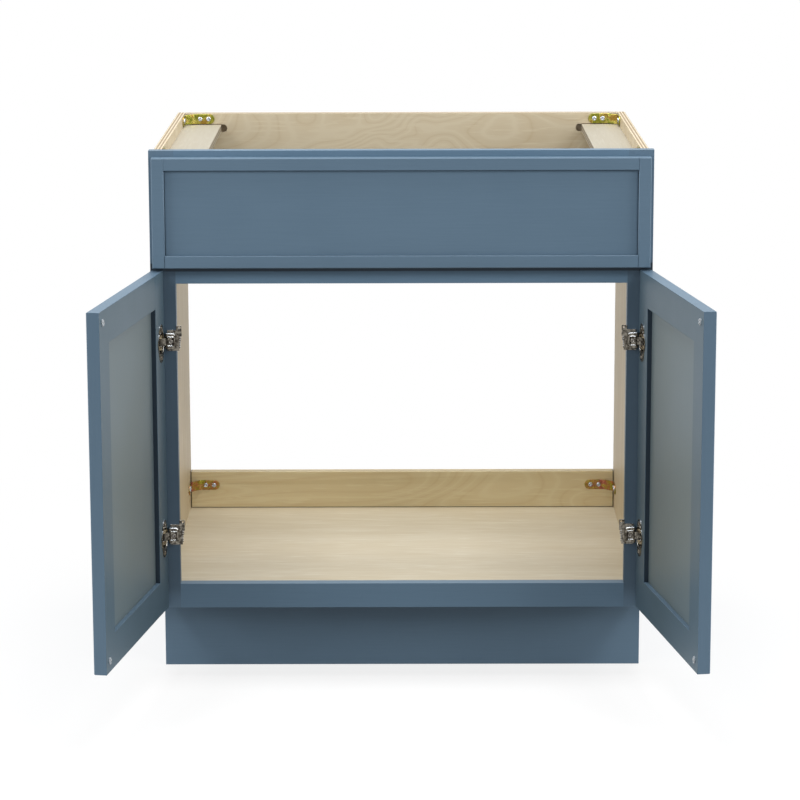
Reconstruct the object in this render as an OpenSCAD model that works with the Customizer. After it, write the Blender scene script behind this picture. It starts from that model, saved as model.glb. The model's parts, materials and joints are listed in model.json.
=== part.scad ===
// Vanity base cabinet with a face frame, a fixed false drawer front and two doors.
// Millimetres. +X is to the right, -Y is the front, +Z is up.
// The origin is on the floor, at the middle of the width, in the middle of the toe-kick board.
// Both doors stand open, each turned about its own hinge line.

/* [Cabinet] */
// Width over the face frame
cab_w = 762; // [600:1:1000]
// Height from the floor to the top edge
cab_h = 825.5; // [760:0.5:900]
// Depth from the front of the face frame to the back edges
cab_d = 533.4; // [450:0.1:620]

/* [Case] */
// Thickness of the side panels
side_t = 12; // [9:0.5:19]
// How far the face frame stands out past each side panel
side_inset = 7; // [2:0.5:14]
// Thickness of the bottom panel
bottom_t = 12; // [9:0.5:19]
// Step down from the bottom rail's top to the bottom panel
bottom_step = 3; // [0:0.5:8]
// Depth of the grooves that hold the bottom panel in the side panels
bottom_groove_d = 5; // [3:0.5:7]
// Thickness of the two rear boards
rear_t = 19; // [15:0.5:25]
// Height of the rear top stretcher
stretcher_h = 100; // [80:1:140]
// Height of the rear bottom rail
rear_rail_h = 62.5; // [45:0.5:90]
// Gap at each end of the rear boards
rear_end_gap = 0.8; // [0.3:0.1:1]
// Width of the side boards under the top edge
side_board_w = 61; // [45:1:80]
// Thickness of the side boards
side_board_t = 12; // [9:0.5:16]
// Gap between a top bracket and the side board under it
side_board_gap = 1.25; // [0.5:0.25:6]
// Depth of the stretcher grooves that take the side boards
stretcher_groove_d = 6; // [3:0.5:9]
// How far each stretcher groove runs on past its side board
stretcher_groove_run = 10; // [7:0.5:18]

/* [Toe kick] */
// Height of the toe space
kick_h = 114.3; // [95:0.1:130]
// Setback of the toe-kick board behind the face frame
kick_setback = 76.2; // [50:0.1:100]
// Thickness of the toe-kick board
kick_t = 12; // [9:0.5:19]

/* [Face frame] */
// Thickness of the face frame
frame_t = 19; // [17:0.5:25]
// Width of the stiles
stile_w = 38.1; // [32:0.1:50]
// Height of the top rail
top_rail_h = 38.1; // [34:0.1:50]
// Height of the middle rail
mid_rail_h = 38.1; // [34:0.1:50]
// Height of the bottom rail
bottom_rail_h = 38.1; // [36:0.1:50]
// Height of the opening behind the false front
upper_opening_h = 126.4; // [115:0.1:140]

/* [Fronts] */
// Thickness of the doors and of the false front
front_t = 19; // [18:0.5:22]
// Width of the narrow border round the front face
border_w = 19; // [12:0.5:30]
// Width of the frame on the back face
lip_w = 50.8; // [45:0.1:56]
// Depth of the recess on the back face
back_recess = 7; // [5:0.5:8]
// Thickness of the front panels
panel_t = 6; // [5.5:0.25:8]
// Easing of the long outer and inner front edges
edge_ease = 1; // [0.5:0.1:2]
// Face frame left showing at each side
reveal_side = 5; // [3:0.5:10]
// Face frame left showing at the top
reveal_top = 9.5; // [5:0.5:14]
// Face frame left showing at the bottom
reveal_bottom = 3; // [2:0.5:8]
// Gap between the false front and the doors
front_gap = 5.3; // [3:0.1:8]
// Gap between the two closed doors
centre_gap = 3; // [2:0.5:5]
// How far the false front laps over the middle rail
front_lap = 12; // [9:0.5:16]
// Gap between a closed door and the face frame
door_gap = 3; // [2.8:0.1:3.6]

/* [Hinges] */
// Angle at which both doors stand open
door_open = 99.4; // [95:0.1:103]
// Distance from a door's hinge edge to its pivot
pivot_inset = 6; // [5.5:0.1:6.4]
// Depth of the pivot behind a door's back face
pivot_depth = 8; // [7.6:0.1:8.4]
// Height from a door's bottom edge to the centre of its lower hinge
hinge_low = 114; // [90:1:150]
// Distance from a door's top edge down to the centre of its upper hinge
hinge_high = 108; // [90:1:150]
// Outside radius of the cup
cup_r = 17.5; // [17:0.1:18]
// Wood left between the cup and the door's edge
cup_edge = 3; // [2.6:0.1:3.4]
// Inside depth of the cup
cup_depth = 10.6; // [10.4:0.1:11]
// Wall of the cup
cup_wall = 0.8; // [0.6:0.1:0.9]
// Thickness of the cup's flange
flange_t = 1; // [0.8:0.1:1.1]
// Length of the cup's flange
flange_len = 59; // [57:0.5:62]
// Spacing of the two cup screws
cup_screw_spacing = 45; // [43:0.5:47]
// Radius of the pivot pin
pin_r = 1.25; // [1.1:0.05:1.35]
// Running clearance round the pivot pin
pin_clearance = 0.05; // [0.03:0.01:0.08]
// Thickness of the mounting plate
plate_t = 1.5; // [1.2:0.1:1.6]
// Thickness of the plate's fold on the stile's inner edge
plate_fold_t = 4.5; // [2:0.5:5]
// Height of the mounting plate
plate_h = 32; // [30:0.5:36]
// Width of the mounting plate on the front of the stile
plate_w = 14; // [13:0.5:15]
// Height of the hinge arm's box
arm_h = 26; // [20:0.5:27]

/* [Fasteners] */
// Height of the corner bracket's strap
bracket_h = 16.5; // [15:0.5:17]
// Thickness of the corner bracket
bracket_t = 2; // [1.5:0.1:2.5]
// Length of each flat leg of a corner bracket
bracket_leg = 34; // [32:0.5:38]
// Distance that a bracket cuts off each wall of its corner
bracket_cut = 16; // [12:0.5:20]
// Height of the lower rear brackets above the bottom panel, to their middle
bracket_rise = 40; // [25:0.5:45]
// Radius of a bracket screw's head
screw_head_r = 3.7; // [3:0.1:4]
// Radius of a bracket screw's shank
screw_shank_r = 1.9; // [1.5:0.1:2.2]
// Length of a bracket screw's shank
screw_len = 11; // [8:0.5:13]
// Radius of a door bumper
bumper_r = 5.5; // [4:0.5:7]
// Thickness of a door bumper
bumper_t = 2.7; // [1.5:0.1:2.7]
// Distance from a door's edges to the middle of a bumper
bumper_inset = 17; // [14:0.5:18]

/* [Hidden] */
$fn = 48;

paint = [0.36, 0.45, 0.53];
birch = [0.87, 0.78, 0.62];
birch_board = [0.82, 0.72, 0.54];
zinc = [0.66, 0.58, 0.30];
steel = [0.62, 0.60, 0.56];
clear_plastic = [0.82, 0.86, 0.90];

// Share of a bumper's thickness that its rounded shoulder takes
bumper_round = 0.6;
// Small amount by which a cutting solid runs past a face
over = 0.5;
// Clearance of a screw's shank and of a cup in its hole
hole_clearance = 0.1;
cup_clearance = 0.2;
// Clearance of a side board in its stretcher groove
board_clearance = 0.3;
// Gaps from the cabinet's top, and from the bottom panel's underside, to a bracket
bracket_top_gap = 0.75;
bracket_under_gap = 3;

// Depth planes
front_y = -(kick_setback + kick_t / 2);
frame_back_y = front_y + frame_t;
back_y = front_y + cab_d;
rear_face_y = back_y - rear_t;
// Width planes, measured from the middle
half_w = cab_w / 2;
side_out_x = half_w - side_inset;
side_in_x = side_out_x - side_t;
stile_in_x = half_w - stile_w;
// Height planes
door_opening_z = kick_h + bottom_rail_h;
top_rail_z = cab_h - top_rail_h;
mid_rail_z = top_rail_z - upper_opening_h - mid_rail_h;
bottom_top_z = door_opening_z - bottom_step;
side_board_z = cab_h - bracket_top_gap - bracket_h - side_board_gap - side_board_t;

// False front and doors
false_front_w = cab_w - 2 * reveal_side;
false_front_z = mid_rail_z + mid_rail_h - front_lap;
false_front_h = cab_h - reveal_top - false_front_z;
door_w = (false_front_w - centre_gap) / 2;
door_z = kick_h + reveal_bottom;
door_h = false_front_z - front_gap - door_z;
hinge_z = [door_z + hinge_low, door_z + door_h - hinge_high];
LOW = 0;
TOP = 1;

// Hinge line of the left door, and places in the hinge's own frame:
// its origin is the pivot, +X runs to the middle of the cabinet, +Y to the back
pivot_x = -(half_w - reveal_side - pivot_inset);
pivot_y = front_y - door_gap - pivot_depth;
frame_face = door_gap + pivot_depth;
stile_edge = -stile_in_x - pivot_x;
cup_x = cup_edge + cup_r - pivot_inset;
cup_floor = pivot_depth - cup_depth;
cup_hole_r = cup_r + cup_clearance;
cup_in_r = cup_r - cup_wall;
// Rim of the flange round the cup, and the width of the flange's two ends
cup_rim_w = 1.5;
cup_rim_r = cup_r + cup_rim_w;
flange_w = 24;
// Knuckle of the hinge arm, with its play along the pin
knuckle_wall = 0.7;
knuckle_r = pin_r + pin_clearance + knuckle_wall;
knuckle_h = 11;
knuckle_play = 0.3;
arm_slot_h = knuckle_h + 2 * knuckle_play;
// Strip that joins the knuckle to the arm's box, and the face of it that looks to the door
arm_strip_t = 1.6;
arm_strip_top = -0.4;
// Box of the hinge arm, kept clear of the cup's far wall, round sides and rim
arm_wall = 1.3;
arm_box_x = 10.5;
arm_box_clear = 4.4;
arm_box_end = cup_x + cup_in_r - arm_box_clear;
arm_box_front = -0.5;
arm_round_clear = 0.9;
arm_rim_clear = 2.8;
arm_half_h = min(arm_h / 2, cup_in_r - arm_rim_clear);
// Pin, held at both ends in the cup's cheeks, which the arm's box turns round
pin_end = 1.5;
pin_len = arm_slot_h + 2 * pin_end;
cheek_t = 6;
cheek_clear = 0.4;
cheek_r = arm_box_x - cheek_clear;
// Closing spring
spring_t = 0.5;
spring_gap = 1;
spring_reach = 0.7;
// Hinge screws
cup_screw_len = 5.5;
cup_shank_r = screw_shank_r * 0.8;
cup_head_r = screw_head_r * 0.85;
cup_head_h = 1.1;
plate_screw_len = 20;
plate_head_h = 2;
cam_head_r = 3.3;
cam_shank_r = 1.8;
cam_head_h = 1;
// Fold of the mounting plate, and its tab with a hole
plate_flange_h = 26;
plate_ear_w = 8;
plate_ear_h = 6.5;
plate_ear_low = 6;
plate_ear_hole_r = 1.6;
plate_ear_hole_edge = 3;

// Brackets
bracket_end_r = bracket_h / 2;
bracket_screw_inset = 10;
bracket_screws_at = [bracket_cut + bracket_screw_inset, bracket_cut + bracket_leg - bracket_screw_inset];
bracket_head_h = 1.6;
bracket_top_z = cab_h - bracket_h / 2 - bracket_top_gap;
bracket_low_z = bottom_top_z + bracket_rise;
bracket_front_low_z = bottom_top_z - bottom_t - bracket_h / 2 - bracket_under_gap;

// Screws that hold the false front, and how far each bites into it
front_screw_x = false_front_w / 3;
front_screw_bite = 10;
front_screw_len = frame_t + front_screw_bite;
front_screw_z = [(mid_rail_z + mid_rail_h + false_front_z) / 2,
                 (top_rail_z + false_front_z + false_front_h) / 2];

// A straight board between two corners
module board(low, high) {
    translate(low) cube(high - low);
}

// Left side is drawn, and the right side is its mirror image
module on_side(right) {
    mirror([right ? 1 : 0, 0, 0]) children();
}

// A cross-head screw along -Z: its head's seat is at the origin
module screw(head_r, head_h, shank_r, length) {
    tip_r = shank_r * 0.3;
    tip_len = shank_r * 1.6;
    shoulder_h = head_h * 0.45;
    top_r = head_r * 0.72;
    cross_w = head_r * 0.2;
    cross_floor = head_h * 0.35;
    difference() {
        rotate_extrude() polygon([
            [0, -length], [tip_r, -length], [shank_r, -length + tip_len], [shank_r, 0],
            [head_r, 0], [head_r, shoulder_h], [top_r, head_h], [0, head_h]
        ]);
        for (turn = [0, 90])
            rotate([0, 0, turn])
                translate([-head_r / 2, -cross_w / 2, cross_floor])
                    cube([head_r, cross_w, head_h]);
    }
}

module screw_hole(shank_r, length) {
    translate([0, 0, -length - over])
        cylinder(r = shank_r + hole_clearance, h = length + 2 * over);
}

// Corner brackets
// Places one bracket: the inside corner is at the origin, with walls along +X and +Y
module at_corner(right, rear, z) {
    on_side(right)
        translate([-side_in_x, rear ? rear_face_y : frame_back_y, z])
            mirror([0, rear ? 1 : 0, 0])
                children();
}

// The two flat legs are alike, mirrored about the corner's diagonal
module both_legs() {
    children();
    mirror([1, -1, 0]) children();
}

module bracket_leg_plate() {
    flat = bracket_leg - bracket_end_r;
    rotate([90, 0, 0])
        translate([bracket_cut, 0, -bracket_t])
            linear_extrude(bracket_t) union() {
                translate([0, -bracket_h / 2]) square([flat, bracket_h]);
                translate([flat, 0]) circle(r = bracket_end_r);
            }
}

module bracket_screw_places() {
    both_legs()
        for (x = bracket_screws_at)
            translate([x, bracket_t, 0]) rotate([-90, 0, 0]) children();
}

module corner_bracket() {
    bend = bracket_t * (sqrt(2) - 1);
    color(zinc) difference() {
        union() {
            both_legs() bracket_leg_plate();
            translate([0, 0, -bracket_h / 2])
                linear_extrude(bracket_h)
                    polygon([
                        [bracket_cut, 0], [bracket_cut + bend, bracket_t],
                        [bracket_t, bracket_cut + bend], [0, bracket_cut]
                    ]);
        }
        bracket_screw_places() screw_hole(screw_shank_r, bracket_t);
    }
}

// Every corner that has a bracket: four at the back and four behind the face frame
module every_bracket_corner() {
    for (right = [false, true]) {
        at_corner(right, true, bracket_top_z) children();
        at_corner(right, true, bracket_low_z) children();
        at_corner(right, false, bracket_top_z) children();
        at_corner(right, false, bracket_front_low_z) children();
    }
}

module bracket_pilots() {
    every_bracket_corner() bracket_screw_places() screw_hole(screw_shank_r, screw_len);
}

// Case
module side_panel(right) {
    kick_back_y = front_y + kick_setback + kick_t;
    color(birch) difference() {
        on_side(right) difference() {
            board([-side_out_x, frame_back_y, 0], [-side_in_x, back_y, cab_h]);
            board([-side_out_x - over, frame_back_y - over, -over],
                  [-side_in_x + over, kick_back_y, kick_h]);
            board([-side_in_x - bottom_groove_d, frame_back_y - over, bottom_top_z - bottom_t],
                  [-side_in_x + over, back_y + over, bottom_top_z]);
        }
        bracket_pilots();
    }
}

module bottom_panel() {
    half = side_in_x + bottom_groove_d;
    color(birch) board([-half, frame_back_y, bottom_top_z - bottom_t], [half, back_y, bottom_top_z]);
}

module toe_kick_board() {
    y = front_y + kick_setback;
    color(paint) board([-side_out_x, y, 0], [side_out_x, y + kick_t, kick_h]);
}

module rear_bottom_rail() {
    half = side_in_x - rear_end_gap;
    color(birch_board) difference() {
        board([-half, rear_face_y, bottom_top_z], [half, back_y, bottom_top_z + rear_rail_h]);
        bracket_pilots();
    }
}

// Each groove runs in from the board's end and stops in a half round
module stretcher_groove(right) {
    high = side_board_t + 2 * board_clearance;
    end_x = side_in_x - side_board_w - stretcher_groove_run;
    on_side(right)
        translate([0, rear_face_y + stretcher_groove_d, side_board_z + side_board_t / 2])
            rotate([90, 0, 0])
                linear_extrude(stretcher_groove_d + over) union() {
                    translate([-side_in_x - over, -high / 2])
                        square([side_in_x - end_x - high / 2 + over, high]);
                    translate([-end_x - high / 2, 0]) circle(r = high / 2);
                }
}

module rear_top_stretcher() {
    half = side_in_x - rear_end_gap;
    color(birch_board) difference() {
        board([-half, rear_face_y, cab_h - stretcher_h], [half, back_y, cab_h]);
        stretcher_groove(false);
        stretcher_groove(true);
        bracket_pilots();
    }
}

module side_board(right) {
    color(birch_board) on_side(right)
        board([-side_in_x, frame_back_y, side_board_z],
              [-side_in_x + side_board_w, rear_face_y + stretcher_groove_d - board_clearance,
               side_board_z + side_board_t]);
}

// Face frame
module frame_stile(right) {
    color(paint) difference() {
        on_side(right) difference() {
            board([-half_w, front_y, kick_h], [-stile_in_x, frame_back_y, cab_h]);
            for (z = hinge_z)
                in_hinge(z) plate_screw_place() screw_hole(screw_shank_r, plate_screw_len);
        }
        bracket_pilots();
    }
}

module frame_rail(low_z, high_z) {
    color(paint) difference() {
        board([-stile_in_x, front_y, low_z], [stile_in_x, frame_back_y, high_z]);
        bracket_pilots();
        front_screw_places() screw_hole(screw_shank_r, front_screw_len);
    }
}

module front_screw_places() {
    for (x = [-front_screw_x, front_screw_x])
        for (z = front_screw_z)
            translate([x, frame_back_y, z]) rotate([-90, 0, 0]) children();
}

module false_front_screws() {
    color(steel) front_screw_places()
        screw(screw_head_r, bracket_head_h, screw_shank_r, front_screw_len);
}

// Framed fronts: local frame with the back face at y = 0, the front at y = -front_t,
// x from the left edge and z from the bottom edge
// Cross-section of the border in front of the lip, from its inner back corner round to its outer one
border_points = [
    [border_w, -back_recess], [border_w, -front_t + edge_ease], [border_w - edge_ease, -front_t],
    [edge_ease, -front_t], [0, -front_t + edge_ease]
];

// Cuts the edge between a stile's lower end and its front face, as the long edges are cut
module end_ease() {
    translate([-over, 0, 0])
        rotate([90, 0, 90])
            linear_extrude(border_w + 2 * over)
                polygon([
                    [-front_t - over, -over], [-front_t + edge_ease + over, -over],
                    [-front_t - over, edge_ease + over]
                ]);
}

module front_stile(height) {
    difference() {
        linear_extrude(height)
            polygon(concat([[0, 0], [lip_w, 0], [lip_w, -back_recess]], border_points));
        end_ease();
        translate([0, 0, height]) mirror([0, 0, 1]) end_ease();
    }
}

module front_rail(width) {
    translate([border_w, 0, 0])
        rotate([0, 90, 0]) mirror([1, 0, 0])
            linear_extrude(width - 2 * border_w) polygon(concat([[0, -back_recess]], border_points));
    board([lip_w, -back_recess, 0], [width - lip_w, 0, lip_w]);
}

module front_panel(width, height) {
    board([border_w, -back_recess - panel_t, border_w],
          [width - border_w, -back_recess, height - border_w]);
}

// False drawer front, fixed on the face frame
module at_false_front() {
    translate([-false_front_w / 2, front_y, false_front_z]) children();
}

module false_front_part() {
    color(paint) difference() {
        at_false_front() children();
        front_screw_places() screw_hole(screw_shank_r, front_screw_len);
    }
}

module false_front_stile(right) {
    on_side(right) false_front_part() front_stile(false_front_h);
}

module false_front_rail(top) {
    false_front_part()
        translate([0, 0, top ? false_front_h : 0])
            mirror([0, 0, top ? 1 : 0])
                front_rail(false_front_w);
}

// Places a thing drawn in the pivot's frame: on the cabinet, or turned with an open door
module in_hinge(z) {
    translate([pivot_x, pivot_y, z]) children();
}

module on_door(right) {
    on_side(right)
        translate([pivot_x, pivot_y, 0])
            rotate([0, 0, -door_open])
                children();
}

// The door's own frame has its corner at the hinge edge, back face and bottom edge
module at_door() {
    translate([-pivot_inset, pivot_depth, door_z]) children();
}

// A flat-bottomed hole for the cup, and pilot holes for the two screws of its flange
module cup_holes() {
    for (z = hinge_z) translate([0, 0, z]) {
        translate([cup_x, pivot_depth + over, 0])
            rotate([90, 0, 0])
                cylinder(r = cup_hole_r, h = cup_depth + cup_wall + cup_clearance + over);
        cup_screw_places() screw_hole(cup_shank_r, cup_screw_len);
    }
}

module door_hinge_stile(right) {
    color(paint) on_door(right) difference() {
        at_door() front_stile(door_h);
        cup_holes();
    }
}

module door_free_stile(right) {
    color(paint) on_door(right) at_door()
        translate([door_w, 0, 0]) mirror([1, 0, 0]) front_stile(door_h);
}

module door_rail(right, top) {
    color(paint) on_door(right) at_door()
        translate([0, 0, top ? door_h : 0])
            mirror([0, 0, top ? 1 : 0])
                front_rail(door_w);
}

module door_panel(right) {
    color(paint) on_door(right) difference() {
        at_door() front_panel(door_w, door_h);
        cup_holes();
    }
}

// A bumper is a disc with a rounded shoulder
module door_bumpers(right) {
    shoulder = bumper_t * bumper_round;
    color(clear_plastic) on_door(right) at_door()
        for (z = [bumper_inset, door_h - bumper_inset])
            translate([door_w - bumper_inset, 0, z]) rotate([-90, 0, 0])
                rotate_extrude() union() {
                    square([bumper_r - shoulder, bumper_t]);
                    square([bumper_r, bumper_t - shoulder]);
                    translate([bumper_r - shoulder, bumper_t - shoulder])
                        intersection() {
                            circle(r = shoulder);
                            square(shoulder);
                        }
                }
}

// Hinge cup and what it carries, in the pivot's frame with the door closed
module cup_screw_places() {
    for (z = [-cup_screw_spacing / 2, cup_screw_spacing / 2])
        translate([cup_x, pivot_depth + flange_t, z]) rotate([-90, 0, 0]) children();
}

module cup_flange() {
    end_z = flange_len / 2 - flange_w / 2;
    translate([cup_x, pivot_depth + flange_t, 0])
        rotate([90, 0, 0])
            linear_extrude(flange_t) union() {
                circle(r = cup_rim_r);
                square([flange_w, 2 * end_z], center = true);
                for (z = [-end_z, end_z]) translate([0, z]) circle(r = flange_w / 2);
            }
}

// Two cheeks fill the cup beside the knuckle and hold the pin
module cup_cheeks() {
    intersection() {
        translate([cup_x, pivot_depth, 0])
            rotate([90, 0, 0])
                cylinder(r = cup_in_r + cup_wall / 2, h = cup_depth);
        for (side = [-1, 1])
            translate([0, 0, side > 0 ? arm_slot_h / 2 : -arm_slot_h / 2 - cheek_t])
                cylinder(r = cheek_r, h = cheek_t);
    }
}

module hinge_cup(right, level) {
    color(steel) on_door(right) translate([0, 0, hinge_z[level]]) difference() {
        union() {
            cup_flange();
            difference() {
                translate([cup_x, pivot_depth, 0])
                    rotate([90, 0, 0])
                        cylinder(r = cup_r, h = cup_depth + cup_wall);
                translate([cup_x, pivot_depth + over, 0])
                    rotate([90, 0, 0])
                        cylinder(r = cup_in_r, h = cup_depth + over);
            }
            cup_cheeks();
        }
        translate([cup_x, pivot_depth + 2 * flange_t, 0])
            rotate([90, 0, 0])
                cylinder(r = cup_in_r, h = 2 * flange_t);
        board([-cup_rim_r, cup_floor, -arm_slot_h / 2], [0, frame_face, arm_slot_h / 2]);
        translate([0, 0, -pin_len / 2]) cylinder(r = pin_r, h = pin_len);
        cup_screw_places() screw_hole(cup_shank_r, flange_t);
    }
}

module hinge_pins(right) {
    color(steel) on_door(right)
        for (z = hinge_z)
            translate([0, 0, z - pin_len / 2]) cylinder(r = pin_r, h = pin_len);
}

// The closing spring is a leaf that lies on the cup's floor
module hinge_springs(right) {
    color(steel) on_door(right)
        for (z = hinge_z)
            translate([0, 0, z])
                board([knuckle_r + spring_gap, cup_floor, -arm_slot_h / 3],
                      [cup_x + cup_in_r * spring_reach, cup_floor + spring_t, arm_slot_h / 3]);
}

module hinge_cup_screws(right) {
    color(steel) on_door(right)
        for (z = hinge_z)
            translate([0, 0, z])
                cup_screw_places() screw(cup_head_r, cup_head_h, cup_shank_r, cup_screw_len);
}

// The arm's box as a solid, drawn in by an inset, with its far corners rounded to suit the cup
module arm_box(inset, back) {
    half_h = arm_half_h - inset;
    intersection() {
        board([arm_box_x + inset, arm_box_front + inset, -half_h], [arm_box_end - inset, back, half_h]);
        translate([cup_x, back + over, 0])
            rotate([90, 0, 0])
                cylinder(r = cup_in_r - arm_round_clear - inset, h = back - arm_box_front + 2 * over);
    }
}

// Hinge arm: a knuckle round the pin, a flat strip past the door's edge, and a folded box
module hinge_arm(right, level) {
    strip_y = arm_strip_top - arm_strip_t;
    box_back = frame_face - plate_t;
    color(steel) on_side(right) in_hinge(hinge_z[level]) difference() {
        union() {
            translate([0, 0, -knuckle_h / 2]) cylinder(r = knuckle_r, h = knuckle_h);
            board([0, strip_y, -knuckle_h / 2], [arm_box_x + arm_wall, arm_strip_top, knuckle_h / 2]);
            difference() {
                arm_box(0, box_back);
                arm_box(arm_wall, box_back + over);
            }
            board([arm_box_x, strip_y, -knuckle_h / 2],
                  [arm_box_x + arm_wall, arm_box_front + arm_wall, knuckle_h / 2]);
        }
        translate([0, 0, -knuckle_h / 2 - over])
            cylinder(r = pin_r + pin_clearance, h = knuckle_h + 2 * over);
        cam_screw_place() screw_hole(cam_shank_r, arm_wall);
    }
}

module cam_screw_place() {
    translate([(arm_box_x + arm_box_end) / 2, arm_box_front, 0]) rotate([90, 0, 0]) children();
}

module hinge_cam_screws() {
    color(steel)
        for (right = [false, true])
            for (z = hinge_z)
                on_side(right) in_hinge(z) cam_screw_place()
                    screw(cam_head_r, cam_head_h, cam_shank_r, frame_face - arm_box_front);
}

// Mounting plate: a strap on the front of the stile, folded round its inner edge
module plate_screw_place() {
    translate([stile_edge + plate_fold_t, frame_face + frame_t / 2, 0])
        rotate([0, 90, 0])
            children();
}

module hinge_plate(right, level) {
    front = frame_face - plate_t;
    fold_x = stile_edge + plate_fold_t;
    ear_x = stile_edge + plate_ear_w;
    ear_top = plate_h / 2 + plate_ear_h;
    color(steel) on_side(right) in_hinge(hinge_z[level]) difference() {
        union() {
            board([stile_edge - plate_w, front, -plate_h / 2], [fold_x, frame_face, plate_h / 2]);
            board([stile_edge, front, -plate_flange_h / 2],
                  [fold_x, frame_face + frame_t, plate_flange_h / 2]);
            board([stile_edge, front, plate_ear_low], [ear_x, frame_face, ear_top]);
        }
        plate_screw_place() screw_hole(screw_shank_r, plate_fold_t);
        cam_screw_place() screw_hole(cam_shank_r, frame_face - arm_box_front);
        translate([ear_x - plate_ear_hole_edge, frame_face + over, ear_top - plate_ear_hole_edge])
            rotate([90, 0, 0])
                cylinder(r = plate_ear_hole_r, h = plate_t + 2 * over);
    }
}

module hinge_plate_screws() {
    color(steel)
        for (right = [false, true])
            for (z = hinge_z)
                on_side(right) in_hinge(z) plate_screw_place()
                    screw(screw_head_r, plate_head_h, screw_shank_r, plate_screw_len);
}

module bracket_screws() {
    color(steel)
        every_bracket_corner() bracket_screw_places()
            screw(screw_head_r, bracket_head_h, screw_shank_r, screw_len);
}

side_panel(false);  // side_panel_left
side_panel(true);  // side_panel_right
bottom_panel();
toe_kick_board();
rear_bottom_rail();
rear_top_stretcher();
side_board(false);  // side_board_left
side_board(true);  // side_board_right
frame_stile(false);  // frame_stile_left
frame_stile(true);  // frame_stile_right
frame_rail(top_rail_z, cab_h);  // frame_top_rail
frame_rail(mid_rail_z, mid_rail_z + mid_rail_h);  // frame_mid_rail
frame_rail(kick_h, door_opening_z);  // frame_bottom_rail
false_front_stile(false);  // false_front_stile_left
false_front_stile(true);  // false_front_stile_right
false_front_rail(true);  // false_front_top_rail
false_front_rail(false);  // false_front_bottom_rail
false_front_part() front_panel(false_front_w, false_front_h);  // false_front_panel
false_front_screws();
at_corner(false, true, bracket_top_z) corner_bracket();  // bracket_rear_top_left
at_corner(true, true, bracket_top_z) corner_bracket();  // bracket_rear_top_right
at_corner(false, true, bracket_low_z) corner_bracket();  // bracket_rear_low_left
at_corner(true, true, bracket_low_z) corner_bracket();  // bracket_rear_low_right
at_corner(false, false, bracket_top_z) corner_bracket();  // bracket_front_top_left
at_corner(true, false, bracket_top_z) corner_bracket();  // bracket_front_top_right
at_corner(false, false, bracket_front_low_z) corner_bracket();  // bracket_front_low_left
at_corner(true, false, bracket_front_low_z) corner_bracket();  // bracket_front_low_right
bracket_screws();
hinge_plate(false, TOP);  // hinge_plate_top_left
hinge_plate(false, LOW);  // hinge_plate_low_left
hinge_plate(true, TOP);  // hinge_plate_top_right
hinge_plate(true, LOW);  // hinge_plate_low_right
hinge_arm(false, TOP);  // hinge_arm_top_left
hinge_arm(false, LOW);  // hinge_arm_low_left
hinge_arm(true, TOP);  // hinge_arm_top_right
hinge_arm(true, LOW);  // hinge_arm_low_right
hinge_plate_screws();
hinge_cam_screws();
door_hinge_stile(false);  // door_left_hinge_stile
door_free_stile(false);  // door_left_free_stile
door_rail(false, true);  // door_left_top_rail
door_rail(false, false);  // door_left_bottom_rail
door_panel(false);  // door_left_panel
door_bumpers(false);  // door_left_bumpers
hinge_cup(false, TOP);  // hinge_cup_top_left
hinge_cup(false, LOW);  // hinge_cup_low_left
hinge_pins(false);  // hinge_pins_left
hinge_springs(false);  // hinge_springs_left
hinge_cup_screws(false);  // hinge_cup_screws_left
door_hinge_stile(true);  // door_right_hinge_stile
door_free_stile(true);  // door_right_free_stile
door_rail(true, true);  // door_right_top_rail
door_rail(true, false);  // door_right_bottom_rail
door_panel(true);  // door_right_panel
door_bumpers(true);  // door_right_bumpers
hinge_cup(true, TOP);  // hinge_cup_top_right
hinge_cup(true, LOW);  // hinge_cup_low_right
hinge_pins(true);  // hinge_pins_right
hinge_springs(true);  // hinge_springs_right
hinge_cup_screws(true);  // hinge_cup_screws_right
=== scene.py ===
"""Looks of a face-frame vanity base cabinet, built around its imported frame.

Metres, +X to the right, -Y to the front, +Z up. Small hardware is written in millimetres, in the
frame of what carries it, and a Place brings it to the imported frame.
"""

import json
import logging
import math
from dataclasses import dataclass, field
from enum import Enum

import bmesh
import bpy
import numpy as np
from mathutils import Matrix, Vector
from mathutils.bvhtree import BVHTree

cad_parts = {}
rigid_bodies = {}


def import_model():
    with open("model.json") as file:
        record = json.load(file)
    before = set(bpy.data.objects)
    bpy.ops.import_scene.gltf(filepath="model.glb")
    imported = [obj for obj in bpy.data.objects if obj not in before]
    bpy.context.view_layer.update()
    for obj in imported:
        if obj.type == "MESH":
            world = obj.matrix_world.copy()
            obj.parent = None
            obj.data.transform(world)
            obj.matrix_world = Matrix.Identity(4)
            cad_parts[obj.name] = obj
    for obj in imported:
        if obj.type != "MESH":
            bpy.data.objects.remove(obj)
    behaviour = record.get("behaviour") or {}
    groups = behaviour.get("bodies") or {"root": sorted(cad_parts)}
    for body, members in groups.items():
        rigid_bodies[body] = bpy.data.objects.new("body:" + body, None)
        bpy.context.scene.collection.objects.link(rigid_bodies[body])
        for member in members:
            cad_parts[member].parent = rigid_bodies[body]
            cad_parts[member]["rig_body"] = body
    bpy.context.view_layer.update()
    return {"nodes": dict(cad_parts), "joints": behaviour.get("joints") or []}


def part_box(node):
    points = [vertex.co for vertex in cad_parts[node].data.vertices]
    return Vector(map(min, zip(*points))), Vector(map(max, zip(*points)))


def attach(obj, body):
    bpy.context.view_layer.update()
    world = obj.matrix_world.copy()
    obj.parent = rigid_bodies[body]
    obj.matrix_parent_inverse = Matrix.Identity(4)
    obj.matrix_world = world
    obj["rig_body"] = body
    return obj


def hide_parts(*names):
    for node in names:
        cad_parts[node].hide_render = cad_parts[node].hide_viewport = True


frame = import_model()

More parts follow.
